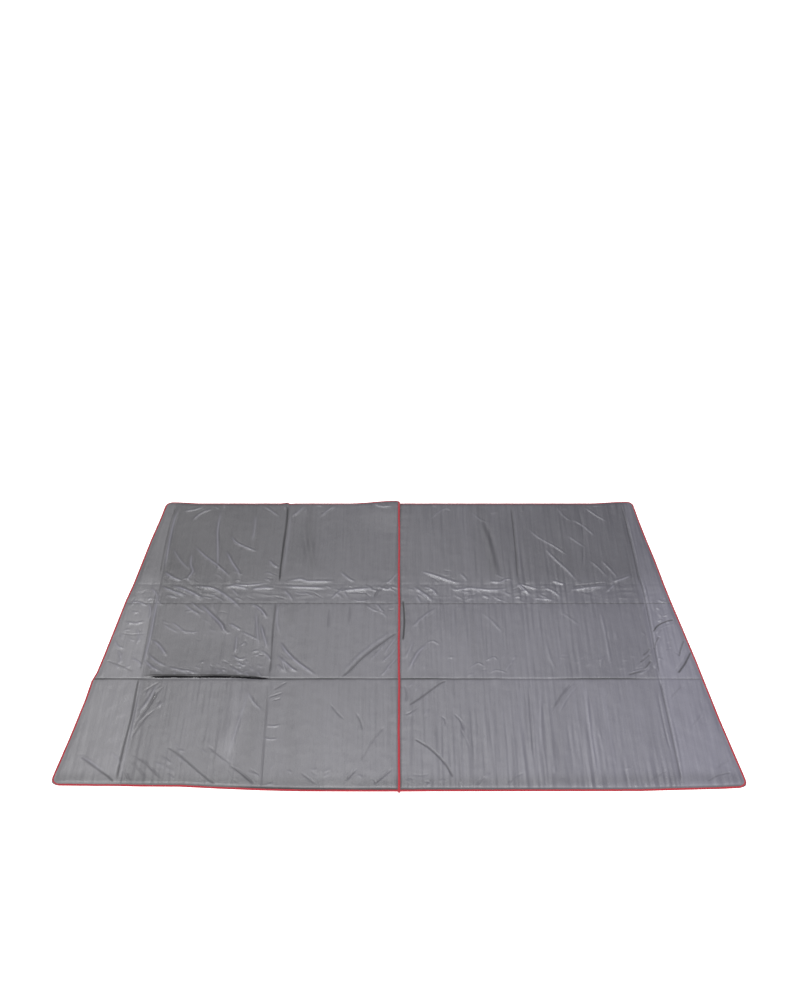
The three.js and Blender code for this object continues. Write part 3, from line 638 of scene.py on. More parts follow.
def height(x, y, d=None):
    """The upper cloth's height at a place of the plain outline; d is its distance from the edge."""
    if d is None:
        d = edge_distance(x, y)
    wx, wy = warp(x, y)
    f = sample(field, wx, wy)
    rise = smooth((d - TAPE) / 0.020)
    z = EDGE_Z + (0.0053 - EDGE_Z) * rise + f * smooth((d - 0.004) / 0.022)
    # it dips where it goes into the tape at the centre
    c = np.where(x < 0, -x - TAPE - 0.0005, x - 0.0005)
    dip = np.exp(-np.maximum(c, 0) / 0.008)
    z = z - 0.0016 * dip - np.minimum(f, 0.001) * 0.5 * dip
    # the left half's far corner at the centre stands up
    up = 0.0075 * smooth((wx + 0.30) / 0.28) * smooth((wy - 0.74) / 0.27) * (x < 0.0)
    return np.clip(z, 0.0016, 0.0135) + up * smooth((-x + 0.004) / 0.012)

# ------------------------------------------------------------------ meshes
def spaced(a, b, step):
    n = max(2, int(round((b - a) / step)))
    n = int(math.ceil(n / 4.0) * 4)
    return np.linspace(a, b, n + 1)


def make_object(name, verts, faces, sharp_edges=None, smooth_faces=True):
    mesh = bpy.data.meshes.new(name)
    mesh.from_pydata(verts, [], faces)
    mesh.validate()
    if smooth_faces:
        mesh.polygons.foreach_set("use_smooth", np.ones(len(mesh.polygons), bool))
    obj = bpy.data.objects.new(name, mesh)
    bpy.context.scene.collection.objects.link(obj)
    return obj


def closed_panel(name, top, bottom_z, keep=None):
    """A closed piece under a grid of upper points, top[i][j] = (x, y, z): its underside is every fourth line of the same
    grid at bottom_z(x, y), and its four sides are upright. The rims are sharp."""
    n, m = top.shape[:2]
    verts = [tuple(p) for p in top.reshape(-1, 3)]
    t = lambda i, j: i * m + j
    bi, bj = list(range(0, n, 4)), list(range(0, m, 4))
    base = len(verts)
    bottom = {}
    for a, i in enumerate(bi):
        for b, j in enumerate(bj):
            bottom[(a, b)] = len(verts)
            x, y, _ = top[i, j]
            verts.append((x, y, bottom_z(x, y)))
    faces = []
    for i in range(n - 1):
        for j in range(m - 1):
            faces.append((t(i, j), t(i + 1, j), t(i + 1, j + 1), t(i, j + 1)))
    for a in range(len(bi) - 1):
        for b in range(len(bj) - 1):
            faces.append((bottom[(a, b)], bottom[(a, b + 1)], bottom[(a + 1, b + 1)], bottom[(a + 1, b)]))
    rim = []

    def side(tops, bots):
        for k in range(len(bots) - 1):
            q = tops[4 * k:4 * k + 5]
            b0, b1 = bots[k], bots[k + 1]
            faces.append((b0, q[0], q[1]))
            faces.append((b0, q[1], q[2]))
            faces.append((b0, q[2], b1))
            faces.append((b1, q[2], q[3]))
            faces.append((b1, q[3], q[4]))
        rim.extend((tops[k], tops[k + 1]) for k in range(len(tops) - 1))
        rim.extend((bots[k], bots[k + 1]) for k in range(len(bots) - 1))

    A, B = len(bi) - 1, len(bj) - 1
    side([t(i, 0) for i in range(n)][::-1], [bottom[(a, 0)] for a in range(A + 1)][::-1])
    side([t(n - 1, j) for j in range(m)][::-1], [bottom[(A, b)] for b in range(B + 1)][::-1])
    side([t(i, m - 1) for i in range(n)], [bottom[(a, B)] for a in range(A + 1)])
    side([t(0, j) for j in range(m)], [bottom[(0, b)] for b in range(B + 1)])
    obj = make_object(name, verts, faces)
    mark_sharp(obj, rim)
    return obj


def mark_sharp(obj, pairs):
    mesh = obj.data
    wanted = {tuple(sorted(p)) for p in pairs}
    ev = np.empty(len(mesh.edges) * 2, int)
    mesh.edges.foreach_get("vertices", ev)
    ev = np.sort(ev.reshape(-1, 2), axis=1)
    key = ev[:, 0].astype(np.int64) * 10_000_000 + ev[:, 1]
    want = np.array([a * 10_000_000 + b for a, b in wanted], np.int64)
    flags = np.isin(key, want)
    attr = mesh.attributes.get("sharp_edge") or mesh.attributes.new("sharp_edge", "BOOLEAN", "EDGE")
    attr.data.foreach_set("value", flags)


def add_painted_light(obj):
    """Carries the painted shade of the hard creases, the painted highlight of the ridges and the painted light of each
    panel to the material, at each point of the piece.
    """
    mesh = obj.data
    co = np.empty(len(mesh.vertices) * 3)
    mesh.vertices.foreach_get("co", co)
    co = co.reshape(-1, 3)
    # the three attributes carry painted shade, painted highlight and the painted light of each panel
    for key, grid in (("crease", painted_shade), ("painted_highlight", painted_highlight), ("tone", painted_light_map)):
        attr = mesh.attributes.new(key, "FLOAT", "POINT")
        attr.data.foreach_set("value", sample(grid, co[:, 0], co[:, 1]).astype(np.float32))


CLOTH_IN = 0.0016          # the cloth's own edge inside the tape


def corner_round(x, y, inset):
    """Turns the square corner of a flap cell into the rounded one, for the outline moved in by inset."""
    r = CORNER_R
    hw = half_width(y)
    for sy in (-1, 1):
        cy = sy * (DEPTH / 2 - r)
        run = (HALF_NEAR - HALF_FAR) / DEPTH
        a = (np.abs(x) - (hw - inset * 1.007 - (r - inset))) / (r - inset)
        b = (y * sy - (DEPTH / 2 - r)) / (r - inset)
        inside = (a > 0) & (b > 0)
        aa, bb = np.clip(a, 0, 1), np.clip(b, 0, 1)
        na = aa * np.sqrt(1 - bb * bb / 2)
        nb = bb * np.sqrt(1 - aa * aa / 2)
        x = np.where(inside, np.sign(x) * (np.abs(x) + (na - aa) * (r - inset)), x)
        y = np.where(inside, sy * (DEPTH / 2 - r + nb * (r - inset)), y)
    return x, y


def corner_distance(x, y):
    """The distance from the rounded outline."""
    d = edge_distance(x, y)
    hw = half_width(y)
    r = CORNER_R
    ax = np.abs(x) - (hw - r)
    ay = np.abs(y) - (DEPTH / 2 - r)
    inside = (ax > 0) & (ay > 0)
    return np.where(inside, r - np.hypot(np.maximum(ax, 0), np.maximum(ay, 0)), d)


def underside(x, y):
    return 0.0003 + 0.00025 * (1 + math.sin(17 * x + 3) * math.sin(13 * y + 1))


def cloth_grid(row, x_of, y_of, us, vs):
    """Upper points for u along X and v along Y; x_of(u, y) and y_of(v) give the plain place."""
    V, U = np.meshgrid(vs, us)
    y = y_of(V)
    x = x_of(U, y)
    x, y = corner_round(x, y, CLOTH_IN)
    d = corner_distance(x, y)
    z = height(x, y, d)
    wx, wy = warp(x, y)
    return np.stack([wx, wy, z], axis=-1)


STEP = 0.0031
pieces = {}


def row_range(row):
    y0, y1 = ROW_Y[row]
    a = y0 + (CLOTH_IN if row == "near" else ROW_HALF[y0])
    b = y1 - (CLOTH_IN if row == "far" else ROW_HALF[y1])
    return a, b


def column_limits(col):
    x0, x1 = COL_X[col]
    left = None if x0 is None else x0 + COL_HALF[x0]
    right = None if x1 is None else x1 - COL_HALF[x1]
    return left, right


def x_function(left, right):
    """u from 0 to 1 across a column, whose outer side may be the slanted end."""
    def f(u, y):
        edge = half_width(y) - CLOTH_IN * 1.007
        a = -edge if left is None else left
        b = edge if right is None else right
        return a + u * (b - a)
    return f


def cloth_piece(name, y0, y1, left, right, ystep=STEP, xstep=STEP):
    width = (right if right is not None else 1.40) - (left if left is not None else -1.40)
    us = spaced(0, width, xstep) / width
    vs = spaced(y0, y1, ystep)
    top = cloth_grid(None, x_function(left, right), lambda v: v, us, vs)
    obj = closed_panel(name, top, underside)
    add_painted_light(obj)
    return obj


# the 18 panels
for row in ROWS:
    y0, y1 = row_range(row)
    for col in COLS:
        left, right = column_limits(col)
        name = f"panel_{row}_{col}"
        obj = cloth_piece(name, y0, y1, left, right)
        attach(obj, f"{row}_{col}")
        if col.endswith("flap"):
            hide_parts(f"flap_{row}_{col[:-5]}")
        else:
            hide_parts(f"cover_{row}_{col}")
        pieces[name] = obj

# the foam pads inside the 12 inner panels, pressed thin along the seams and creases
def pad_piece(name, y0, y1, left, right):
    us = spaced(0, right - left, 0.018) / (right - left)
    vs = spaced(y0, y1, 0.018)
    V, U = np.meshgrid(vs, us)
    x, y = left + U * (right - left), V
    wx, wy = warp(x, y)
    low = np.full(x.shape, 9.0)
    for dx in np.linspace(-0.012, 0.012, 7):
        for dy in np.linspace(-0.012, 0.012, 7):
            px, py = np.clip(x + dx, left - 0.001, right + 0.001), np.clip(y + dy, y0 - 0.001, y1 + 0.001)
            low = np.minimum(low, height(px, py))
    top = np.stack([wx, wy, np.maximum(low - 0.0006, 0.0021)], axis=-1)
    return closed_panel(name, top, lambda a, b: 0.0013)


for row in ROWS:
    y0, y1 = row_range(row)
    for col in COLS[1:-1]:
        left, right = column_limits(col)
        obj = pad_piece(f"foam_{row}_{col}", y0 + 0.0012, y1 - 0.0012, left + 0.0012, right - 0.0012)
        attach(obj, f"{row}_{col}")
        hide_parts(f"pad_{row}_{col}")
        pieces[obj.name] = obj

# the strips at the lengthwise folds, one in each row
FOLD_OF = {-FOLD_FLAP: ("left_outer", "left_flap", "left_flap"), -FOLD_QUARTER: ("left_inner", "left_outer", "left_quarter"),
           0.0: ("right_inner", "left_inner", "centre"), FOLD_QUARTER: ("right_inner", "right_outer", "right_quarter"),
           FOLD_FLAP: ("right_outer", "right_flap", "right_flap")}
for row in ROWS:
    y0, y1 = row_range(row)
    for x, (inner, outer, label) in FOLD_OF.items():
        w = COL_HALF[x]
        obj = cloth_piece(f"bend_{row}_{label}", y0, y1, x - w, x + w, xstep=0.0022)
        s = -1 if x <= 0 else 1
        if x == 0.0:
            s = -1
        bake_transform(obj)
        pieces[obj.name] = obj

# the strips at the folds into thirds, one in each column
for row, y in (("near", -FOLD_ROW), ("far", FOLD_ROW)):
    w = ROW_HALF[y]
    s = -1 if row == "near" else 1
    for col in COLS:
        left, right = COL_X[col]
        obj = cloth_piece(f"bend_{row}_third_{col}", y - w, y + w, left, right, ystep=0.0022)
        body = f"{row}_right_inner" if col == "right_inner" else f"{row}_strip_{col}"
        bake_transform(obj)
        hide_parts(f"fold_strip_{row}_{col}")
        pieces[obj.name] = obj

# ------------------------------------------------------------------ the red binding tape
def outline_path():
    """The plain outline, anticlockwise from the middle of the near edge: points and inward normals."""
    run = (HALF_NEAR - HALF_FAR)
    length = math.hypot(DEPTH, run)
    r = CORNER_R
    normals = {"near": (0, -1), "right": (DEPTH / length, run / length), "far": (0, 1), "left": (-DEPTH / length, run / length)}
    c = {"near": DEPTH / 2, "far": DEPTH / 2, "right": DEPTH / length * HALF_NEAR - run / length * DEPTH / 2}
    c["left"] = c["right"]

    def centre(a, b):
        (ax, ay), (bx, by) = normals[a], normals[b]
        det = ax * by - bx * ay
        ca, cb = c[a] - r, c[b] - r
        return ((ca * by - cb * ay) / det, (ax * cb - bx * ca) / det)

    pts, nrm = [(0.0, -DEPTH / 2)], [(0.0, 1.0)]
    order = [("near", "right"), ("right", "far"), ("far", "left"), ("left", "near")]
    for a, b in order:
        cx, cy = centre(a, b)
        ta, tb = math.atan2(normals[a][1], normals[a][0]), math.atan2(normals[b][1], normals[b][0])
        if tb < ta:
            tb += 2 * math.pi
        for k in range(13):
            t = ta + (tb - ta) * k / 12
            pts.append((cx + r * math.cos(t), cy + r * math.sin(t)))
            nrm.append((-math.cos(t), -math.sin(t)))
    pts.append((0.0, -DEPTH / 2))
    nrm.append((0.0, 1.0))
    return np.array(pts), np.array(nrm)


PATH, NORMAL = outline_path()
PATH_S = np.concatenate([[0], np.cumsum(np.hypot(*(PATH[1:] - PATH[:-1]).T))])


def on_path(s):
    x = np.interp(s, PATH_S, PATH[:, 0])
    y = np.interp(s, PATH_S, PATH[:, 1])
    nx = np.interp(s, PATH_S, NORMAL[:, 0])
    ny = np.interp(s, PATH_S, NORMAL[:, 1])
    k = np.hypot(nx, ny)
    return x, y, nx / k, ny / k


def path_at(edge, value):
    """The place along the path where the near or far edge has that x, or a side has that y."""
    fine = np.linspace(0, PATH_S[-1], 200001)
    x, y, nx, ny = on_path(fine)
    if edge == "near":
        ok = ny > 0.999
        if value < 0:
            ok &= fine > PATH_S[-1] / 2
        else:
            ok &= fine < PATH_S[-1] / 2
        err = np.abs(x - value)
    elif edge == "far":
        ok, err = ny < -0.999, np.abs(x - value)
    elif edge == "right":
        ok, err = nx < -0.9, np.abs(y - value)
    else:
        ok, err = nx > 0.9, np.abs(y - value)
    return float(fine[np.argmin(np.where(ok, err, 9e9))])


def tape_piece(name, s0, s1):
    n = max(3, int(round(abs(s1 - s0) / 0.006)) + 1)
    ss = np.linspace(s0, s1, n)
    px, py, nx, ny = on_path(np.mod(ss, PATH_S[-1]))
    wav = 0.00035 * np.sin(ss / 0.037) + 0.00025 * np.sin(ss / 0.0131 + 1)
    ix, iy = px + nx * TAPE, py + ny * TAPE
    zt = height(ix, iy, np.full(n, TAPE))
    zt = np.clip(zt, EDGE_Z - 0.0004, None)
    ze = zt - 0.0002 + 0.0002 * np.sin(ss / 0.021 + 2)
    outer = [(TAPE + wav, zt + 0.0004), (TAPE - 0.0006 + wav, zt + 0.00075), (0.0076 + 0 * ss, zt + 0.00085), (0.0070 + 0 * ss, zt + 0.00062),
             (0.0064 + 0 * ss, zt + 0.00085), (0.0045 + 0 * ss, ze + 0.0009), (0.0024 + 0 * ss, ze + 0.0006), (0.0009 + 0 * ss, ze + 0.0000),
             (0.0002 + 0 * ss, ze - 0.0009), (0.0 * ss, 0.0019 + 0 * ss), (0.0003 + 0 * ss, 0.0010 + 0 * ss),
             (0.0011 + 0 * ss, 0.0004 + 0 * ss), (0.0026 + 0 * ss, 0.00012 + 0 * ss), (0.0060 + 0 * ss, 0.00006 + 0 * ss), (TAPE + 0 * ss, 0.00006 + 0 * ss)]
    inner = [(TAPE + 0 * ss, 0.00026 + 0 * ss), (0.0030 + 0 * ss, 0.0003 + 0 * ss), (0.0016 + 0 * ss, 0.0008 + 0 * ss), (0.0010 + 0 * ss, 0.0019 + 0 * ss),
             (0.0012 + 0 * ss, ze - 0.0008), (0.0026 + 0 * ss, ze + 0.0002), (0.0050 + 0 * ss, ze + 0.0004), (0.0072 + 0 * ss, zt + 0.0002), (TAPE + wav, zt + 0.00005)]
    prof = outer + inner
    k = len(prof)
    verts, across = [], []
    for i in range(n):
        for d, z in prof:
            x, y = px[i] + nx[i] * d[i], py[i] + ny[i] * d[i]
            wx, wy = warp(x, y)
            verts.append((float(wx), float(wy), float(z[i])))
            across.append(float(d[i]))
    faces = []
    for i in range(n - 1):
        for j in range(k):
            a, b = i * k + j, i * k + (j + 1) % k
            faces.append((a, b, b + k, a + k))
    faces.append(tuple(range(k))[::-1])
    faces.append(tuple((n - 1) * k + j for j in range(k)))
    obj = make_object(name, verts, faces)
    ring0 = [(j, (j + 1) % k) for j in range(k)]
    ring1 = [((n - 1) * k + j, (n - 1) * k + (j + 1) % k) for j in range(k)]
    mark_sharp(obj, ring0 + ring1)
    stitch_marks(obj, np.repeat(ss, k), across)
    return obj


def stitch_marks(obj, along, across):
    a = obj.data.attributes.new("along", "FLOAT", "POINT")
    a.data.foreach_set("value", np.asarray(along, np.float32))
    b = obj.data.attributes.new("across", "FLOAT", "POINT")
    b.data.foreach_set("value", np.asarray(across, np.float32))


cuts = []          # (place along, half width, the two bodies)
for row, edge in (("near", "near"), ("far", "far")):
    for x, (inner, outer, label) in FOLD_OF.items():
        w = COL_HALF[x]
        lo, hi = sorted((path_at(edge, x - w if x else -w), path_at(edge, x + w)))
        if edge == "near" and x == 0.0:
            lo, hi = path_at(edge, -w) - PATH_S[-1], path_at(edge, w)
        s = -1 if x <= 0 else 1
        cuts.append((lo, hi, f"{row}_{inner}", f"{row}_{outer}", (x - s * w, 0, 0), (x + s * w, 0, 0), f"{row}_{label}"))
for side in ("left", "right"):
    for row, y in (("near", -FOLD_ROW), ("far", FOLD_ROW)):
        w = ROW_HALF[y]
        s = -1 if row == "near" else 1
        lo, hi = sorted((path_at(side, y - w), path_at(side, y + w)))
        cuts.append((lo, hi, f"middle_{side}_flap", f"{row}_strip_{side}_flap", (0, y - s * w, 0), (0, y + s * w, 0), f"{row}_third_{side}_end"))
cuts.sort()


def body_at(s):
    x, y, nx, ny = (float(v) for v in on_path(np.mod(s, PATH_S[-1])))
    row = "near" if y < -FOLD_ROW else "far" if y > FOLD_ROW else "middle"
    for col, (a, b) in COL_X.items():
        if (a is None or x >= a) and (b is None or x < b):
            return f"{row}_{col}"


for i, (lo, hi, a, b, start, end, label) in enumerate(cuts):
    obj = tape_piece(f"tape_bend_{label}", lo, hi)
    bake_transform(obj)
    pieces[obj.name] = obj
    nxt = cuts[i + 1][0] if i + 1 < len(cuts) else cuts[0][0] + PATH_S[-1]
    body = body_at((hi + nxt) / 2)
    obj = tape_piece(f"tape_{body}", hi, nxt)
    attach(obj, body)
    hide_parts(f"binding_{body}")
    pieces[obj.name] = obj


def centre_tape(name, y0, y1):
    """The tape on the left half's edge at the centre, a low rounded ridge along X = 0."""
    n = max(3, int(round((y1 - y0) / 0.006)) + 1)
    ys = np.linspace(y0, y1, n)
    zc = height(np.full(n, -0.010), ys)
    ys_w = ys
    bow = 0.0007 * np.sin(ys / 0.085) + 0.0004 * np.sin(ys / 0.031 + 1)
    prof = [(-0.0098, 0.0000), (-0.0095, 0.0007), (-0.0086, 0.0011), (-0.0078, 0.0008), (-0.0071, 0.0012), (-0.0054, 0.0018), (-0.0034, 0.0021),
            (-0.0012, 0.0018), (0.0002, 0.0009), (0.0007, -0.0004), (0.0003, -0.0014), (-0.0020, -0.0014), (-0.0085, -0.0010)]
    k = len(prof)
    verts, across, along = [], [], []
    for i in range(n):
        for dx, dz in prof:
            wx, wy = warp(dx, ys_w[i])
            verts.append((float(dx + bow[i]), float(wy), float(zc[i] + dz)))
            across.append(-dx)
            along.append(ys[i])
    faces = []
    for i in range(n - 1):
        for j in range(k):
            a, b = i * k + j, i * k + (j + 1) % k
            faces.append((a, b, b + k, a + k))
    faces.append(tuple(range(k))[::-1])
    faces.append(tuple((n - 1) * k + j for j in range(k)))
    obj = make_object(name, verts, faces)
    ring = [(j, (j + 1) % k) for j in range(k)]
    mark_sharp(obj, ring + [(a + (n - 1) * k, b + (n - 1) * k) for a, b in ring])
    stitch_marks(obj, along, across)
    return obj


for row in ROWS:
    y0 = -DEPTH / 2 - 0.0060 if row == "near" else ROW_Y[row][0] + ROW_HALF[ROW_Y[row][0]]
    y1 = DEPTH / 2 - 0.0005 if row == "far" else ROW_Y[row][1] - ROW_HALF[ROW_Y[row][1]]
    obj = centre_tape(f"centre_tape_{row}", y0, y1)
    w = W_CENTRE
    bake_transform(obj)
    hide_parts(f"centre_binding_{row}")
    pieces[obj.name] = obj
for row, y in (("near", -FOLD_ROW), ("far", FOLD_ROW)):
    w = ROW_HALF[y]
    s = -1 if row == "near" else 1
    obj = centre_tape(f"centre_tape_bend_{row}", y - w, y + w)
    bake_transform(obj)
    pieces[obj.name] = obj

# ------------------------------------------------------------------ the flat sizes of the panels and of the strips at the folds into thirds
for row in ROWS:
    y0, y1 = row_range(row)
    for col in COLS:
        left, right = column_limits(col)
        if left is None or right is None:
            inner = abs(right if left is None else left)
            a, b = float(half_width(y0)) - inner, float(half_width(y1)) - inner
            flat, cut = (max(a, b), y1 - y0), (a + b) / 2 * (y1 - y0)
        else:
            flat, cut = (right - left, y1 - y0), None
for row, y in (("near", -FOLD_ROW), ("far", FOLD_ROW)):
    for col in COLS:
        left, right = COL_X[col]
        width = (right - left) if left is not None and right is not None else float(half_width(y)) - FOLD_FLAP

# ------------------------------------------------------------------ materials
def material(name):
    m = bpy.data.materials.new(name)
    m.use_nodes = True
    nt = m.node_tree
    bsdf = nt.nodes["Principled BSDF"]
    return m, nt, bsdf


def node(nt, kind, **sets):
    n = nt.nodes.new(kind)
    for k, v in sets.items():
        if k in n.inputs:
            n.inputs[k].default_value = v
        else:
            setattr(n, k, v)
    return n


def noise_node(nt, vec, scale, detail=2.0, rough=0.5, stretch=None):
    if stretch is not None:
        m = node(nt, "ShaderNodeMapping")
        m.inputs["Scale"].default_value = stretch
        nt.links.new(vec, m.inputs["Vector"])
        vec = m.outputs["Vector"]
    t = node(nt, "ShaderNodeTexNoise", Scale=scale, Detail=detail, Roughness=rough)
    nt.links.new(vec, t.inputs["Vector"])
    return t.outputs["Fac"]


def math_node(nt, op, a, b=None, c=None, clamp=False):
    n = node(nt, "ShaderNodeMath", operation=op, use_clamp=clamp)
    for i, v in enumerate((a, b, c)):
        if v is None:
            continue
        if isinstance(v, (int, float)):
            n.inputs[i].default_value = v
        else:
            nt.links.new(v, n.inputs[i])
    return n.outputs[0]


def remap(nt, v, a, b, c, d):
    n = node(nt, "ShaderNodeMapRange")
    n.clamp = True
    nt.links.new(v, n.inputs["Value"])
    for key, val in (("From Min", a), ("From Max", b), ("To Min", c), ("To Max", d)):
        n.inputs[key].default_value = val
    return n.outputs["Result"]


def mix_rgb(nt, fac, a, b):
    n = node(nt, "ShaderNodeMix", data_type="RGBA")
    for key, v in (("Factor", fac), ("A", a), ("B", b)):
        s = [i for i in n.inputs if i.name == key and (key == "Factor" and i.type == "VALUE" or key != "Factor" and i.type == "RGBA")][0]
        if isinstance(v, (tuple, list, float, int)):
            s.default_value = v
        else:
            nt.links.new(v, s)
    return [o for o in n.outputs if o.type == "RGBA"][0]


def bump(nt, height_out, strength, distance, normal=None):
    b = node(nt, "ShaderNodeBump", Strength=strength, Distance=distance)
    nt.links.new(height_out, b.inputs["Height"])
    if normal is not None:
        nt.links.new(normal, b.inputs["Normal"])
    return b.outputs["Normal"]


def srgb(r, g, b):
    f = lambda c: (c / 255 / 12.92) if c / 255 <= 0.04045 else ((c / 255 + 0.055) / 1.055) ** 2.4
    return (f(r), f(g), f(b), 1.0)


def woven(nt, vec, period):
    """Plain weave: threads over and under each other, period in metres."""
    sep = node(nt, "ShaderNodeSeparateXYZ")
    nt.links.new(vec, sep.inputs[0])
    k = 2 * math.pi / period
    sx = math_node(nt, "SINE", math_node(nt, "MULTIPLY", sep.outputs[0], k))
    sy = math_node(nt, "SINE", math_node(nt, "MULTIPLY", sep.outputs[1], k))
    return math_node(nt, "MULTIPLY", sx, sy)


def cloth_material(name, tone, rough=(0.36, 0.50), weave=0.0007, streak=1.0, sheen=0.12, painted_light_amount=1.0):
    m, nt, bsdf = material(name)
    tc = node(nt, "ShaderNodeTexCoord")
    vec = tc.outputs["Object"]
    big = noise_node(nt, vec, 2.2, 2.0)
    streaks = noise_node(nt, vec, 1.0, 3.0, 0.6, stretch=(70, 2.4, 20))
    fine = noise_node(nt, vec, 1.0, 2.0, 0.5, stretch=(230, 9, 60))
    # the colour varies in long streaks along Y: partly the satin's own uneven tone, partly painted sheen bands
    dark = tuple(c * 0.84 for c in tone[:3]) + (1,)
    light = tuple(min(c * 1.16, 1) for c in tone[:3]) + (1,)
    v = math_node(nt, "ADD", math_node(nt, "MULTIPLY", streaks, 0.75 * streak), math_node(nt, "MULTIPLY", big, 0.4))
    v = math_node(nt, "ADD", v, math_node(nt, "MULTIPLY", fine, 0.25 * streak))
    col = mix_rgb(nt, remap(nt, v, 0.35, 1.05, 0.0, 1.0), dark, light)
    # painted shade: the crease attribute darkens the colour towards near black in creases, along the lip and beside the
    # tapes
    at = node(nt, "ShaderNodeAttribute", attribute_name="crease")
    deep = tuple(c * 0.10 for c in tone[:3]) + (1,)
    col = mix_rgb(nt, remap(nt, at.outputs["Fac"], 0.05, 0.80, 0.0, 0.97 * painted_light_amount), col, deep)
    # painted light: the tone attribute makes each panel lighter or darker, as the light falls on it
    tn = node(nt, "ShaderNodeAttribute", attribute_name="tone").outputs["Fac"]
    low = tuple(c * 0.6 for c in tone[:3]) + (1,)
    high = tuple(min(c * 1.5, 1) for c in tone[:3]) + (1,)
    level = mix_rgb(nt, remap(nt, tn, 0.6, 1.5, 0.0, 1.0), low, high)
    scaled = node(nt, "ShaderNodeVectorMath", operation="MULTIPLY")
    nt.links.new(col, scaled.inputs[0])
    nt.links.new(level, scaled.inputs[1])
    unit = node(nt, "ShaderNodeVectorMath", operation="DIVIDE")
    nt.links.new(scaled.outputs[0], unit.inputs[0])
    unit.inputs[1].default_value = tone[:3]
    col = unit.outputs[0]
    # painted light: the colour is made a little warmer towards the left end and bluer towards the right one, as the
    # light falls there
    ends = node(nt, "ShaderNodeSeparateXYZ")
    nt.links.new(vec, ends.inputs[0])
    light_tint = mix_rgb(nt, remap(nt, ends.outputs[0], -1.45, 1.45, 0.0, 1.0), (1.015, 1.015, 0.91, 1), (0.990, 0.985, 1.055, 1))
    tinted = node(nt, "ShaderNodeVectorMath", operation="MULTIPLY")
    nt.links.new(col, tinted.inputs[0])
    nt.links.new(light_tint, tinted.inputs[1])
    col = tinted.outputs[0]
    # painted highlight: the colour is lightened along the ridges
    ct = node(nt, "ShaderNodeAttribute", attribute_name="painted_highlight")
    bright = tuple(min(c * 1.75, 1) for c in tone[:3]) + (1,)
    col = mix_rgb(nt, remap(nt, ct.outputs["Fac"], 0.0, 1.0, 0.0, 0.75 * painted_light_amount), col, bright)
    nt.links.new(col, bsdf.inputs["Base Color"])
    satin = remap(nt, math_node(nt, "ADD", streaks, big), 0.7, 1.3, rough[0], rough[1])
    nt.links.new(math_node(nt, "ADD", satin, math_node(nt, "MULTIPLY", at.outputs["Fac"], 0.45), clamp=True), bsdf.inputs["Roughness"])
    bsdf.inputs["Sheen Weight"].default_value = sheen
    bsdf.inputs["Sheen Roughness"].default_value = 0.45
    bsdf.inputs["Specular IOR Level"].default_value = 0.75
    crinkle = noise_node(nt, vec, 95.0, 3.0, 0.55)
    n1 = bump(nt, crinkle, 0.30, 0.0008)
    n2 = bump(nt, streaks, 0.28, 0.0016, n1)
    n3 = bump(nt, woven(nt, vec, weave), 0.25, 0.00006, n2)
    nt.links.new(n3, bsdf.inputs["Normal"])
    return m


def tape_material(name):
    m, nt, bsdf = material(name)
    tc = node(nt, "ShaderNodeTexCoord")
    vec = tc.outputs["Object"]
    along = node(nt, "ShaderNodeAttribute", attribute_name="along").outputs["Fac"]
    across = node(nt, "ShaderNodeAttribute", attribute_name="across").outputs["Fac"]
    tone = srgb(154, 16, 34)
    grain = noise_node(nt, vec, 160.0, 2.0)
    col = mix_rgb(nt, grain, tuple(c * 0.80 for c in tone[:3]) + (1,), tuple(min(c * 1.15, 1) for c in tone[:3]) + (1,))
    # one row of stitches 8 mm in from the edge
    line = math_node(nt, "LESS_THAN", math_node(nt, "ABSOLUTE", math_node(nt, "SUBTRACT", across, 0.0071)), 0.0005)
    step = math_node(nt, "LESS_THAN", math_node(nt, "FRACT", math_node(nt, "DIVIDE", along, 0.0036)), 0.68)
    thread = math_node(nt, "MULTIPLY", line, step)
    col = mix_rgb(nt, thread, col, srgb(176, 36, 52))
    nt.links.new(col, bsdf.inputs["Base Color"])
    # ribbed grosgrain across the tape
    rib = math_node(nt, "SINE", math_node(nt, "MULTIPLY", along, 2 * math.pi / 0.0011))
    n1 = bump(nt, rib, 0.5, 0.00012)
    n2 = bump(nt, thread, 0.8, 0.0004, n1)
    nt.links.new(n2, bsdf.inputs["Normal"])
    nt.links.new(remap(nt, grain, 0.3, 0.7, 0.50, 0.66), bsdf.inputs["Roughness"])
    bsdf.inputs["Sheen Weight"].default_value = 0.2
    bsdf.inputs["Specular IOR Level"].default_value = 0.4
    return m


def foam_material(name):
    m, nt, bsdf = material(name)
    tc = node(nt, "ShaderNodeTexCoord")
    vec = tc.outputs["Object"]
    cell = node(nt, "ShaderNodeTexVoronoi", Scale=900.0)
    nt.links.new(vec, cell.inputs["Vector"])
    big = noise_node(nt, vec, 12.0, 3.0)
    col = mix_rgb(nt, big, srgb(214, 214, 208), srgb(230, 230, 226))
    nt.links.new(col, bsdf.inputs["Base Color"])
    nt.links.new(remap(nt, big, 0.3, 0.7, 0.80, 0.92), bsdf.inputs["Roughness"])
    nt.links.new(bump(nt, cell.outputs["Distance"], 0.5, 0.0006), bsdf.inputs["Normal"])
    bsdf.inputs["Subsurface Weight"].default_value = 0.0
    return m


COVER = cloth_material("satin_cover_cloth", srgb(90, 89, 97), rough=(0.34, 0.44))
UNDER = cloth_material("under_cloth", srgb(86, 86, 90), rough=(0.6, 0.72), weave=0.0012, streak=0.3, sheen=0.2, painted_light_amount=0.0)
TAPE_MAT = tape_material("red_binding_tape")
FOAM = foam_material("foam_padding")
# a near-black, matt material that paints the shadow under the middle row's lip
LIP_SHADOW, lip_shadow_tree, lip_shadow_bsdf = material("painted_shadow_under_the_lip")
lip_shadow_bsdf.inputs["Base Color"].default_value = srgb(20, 19, 22)
lip_shadow_bsdf.inputs["Roughness"].default_value = 0.95
lip_shadow_bsdf.inputs["Specular IOR Level"].default_value = 0.1

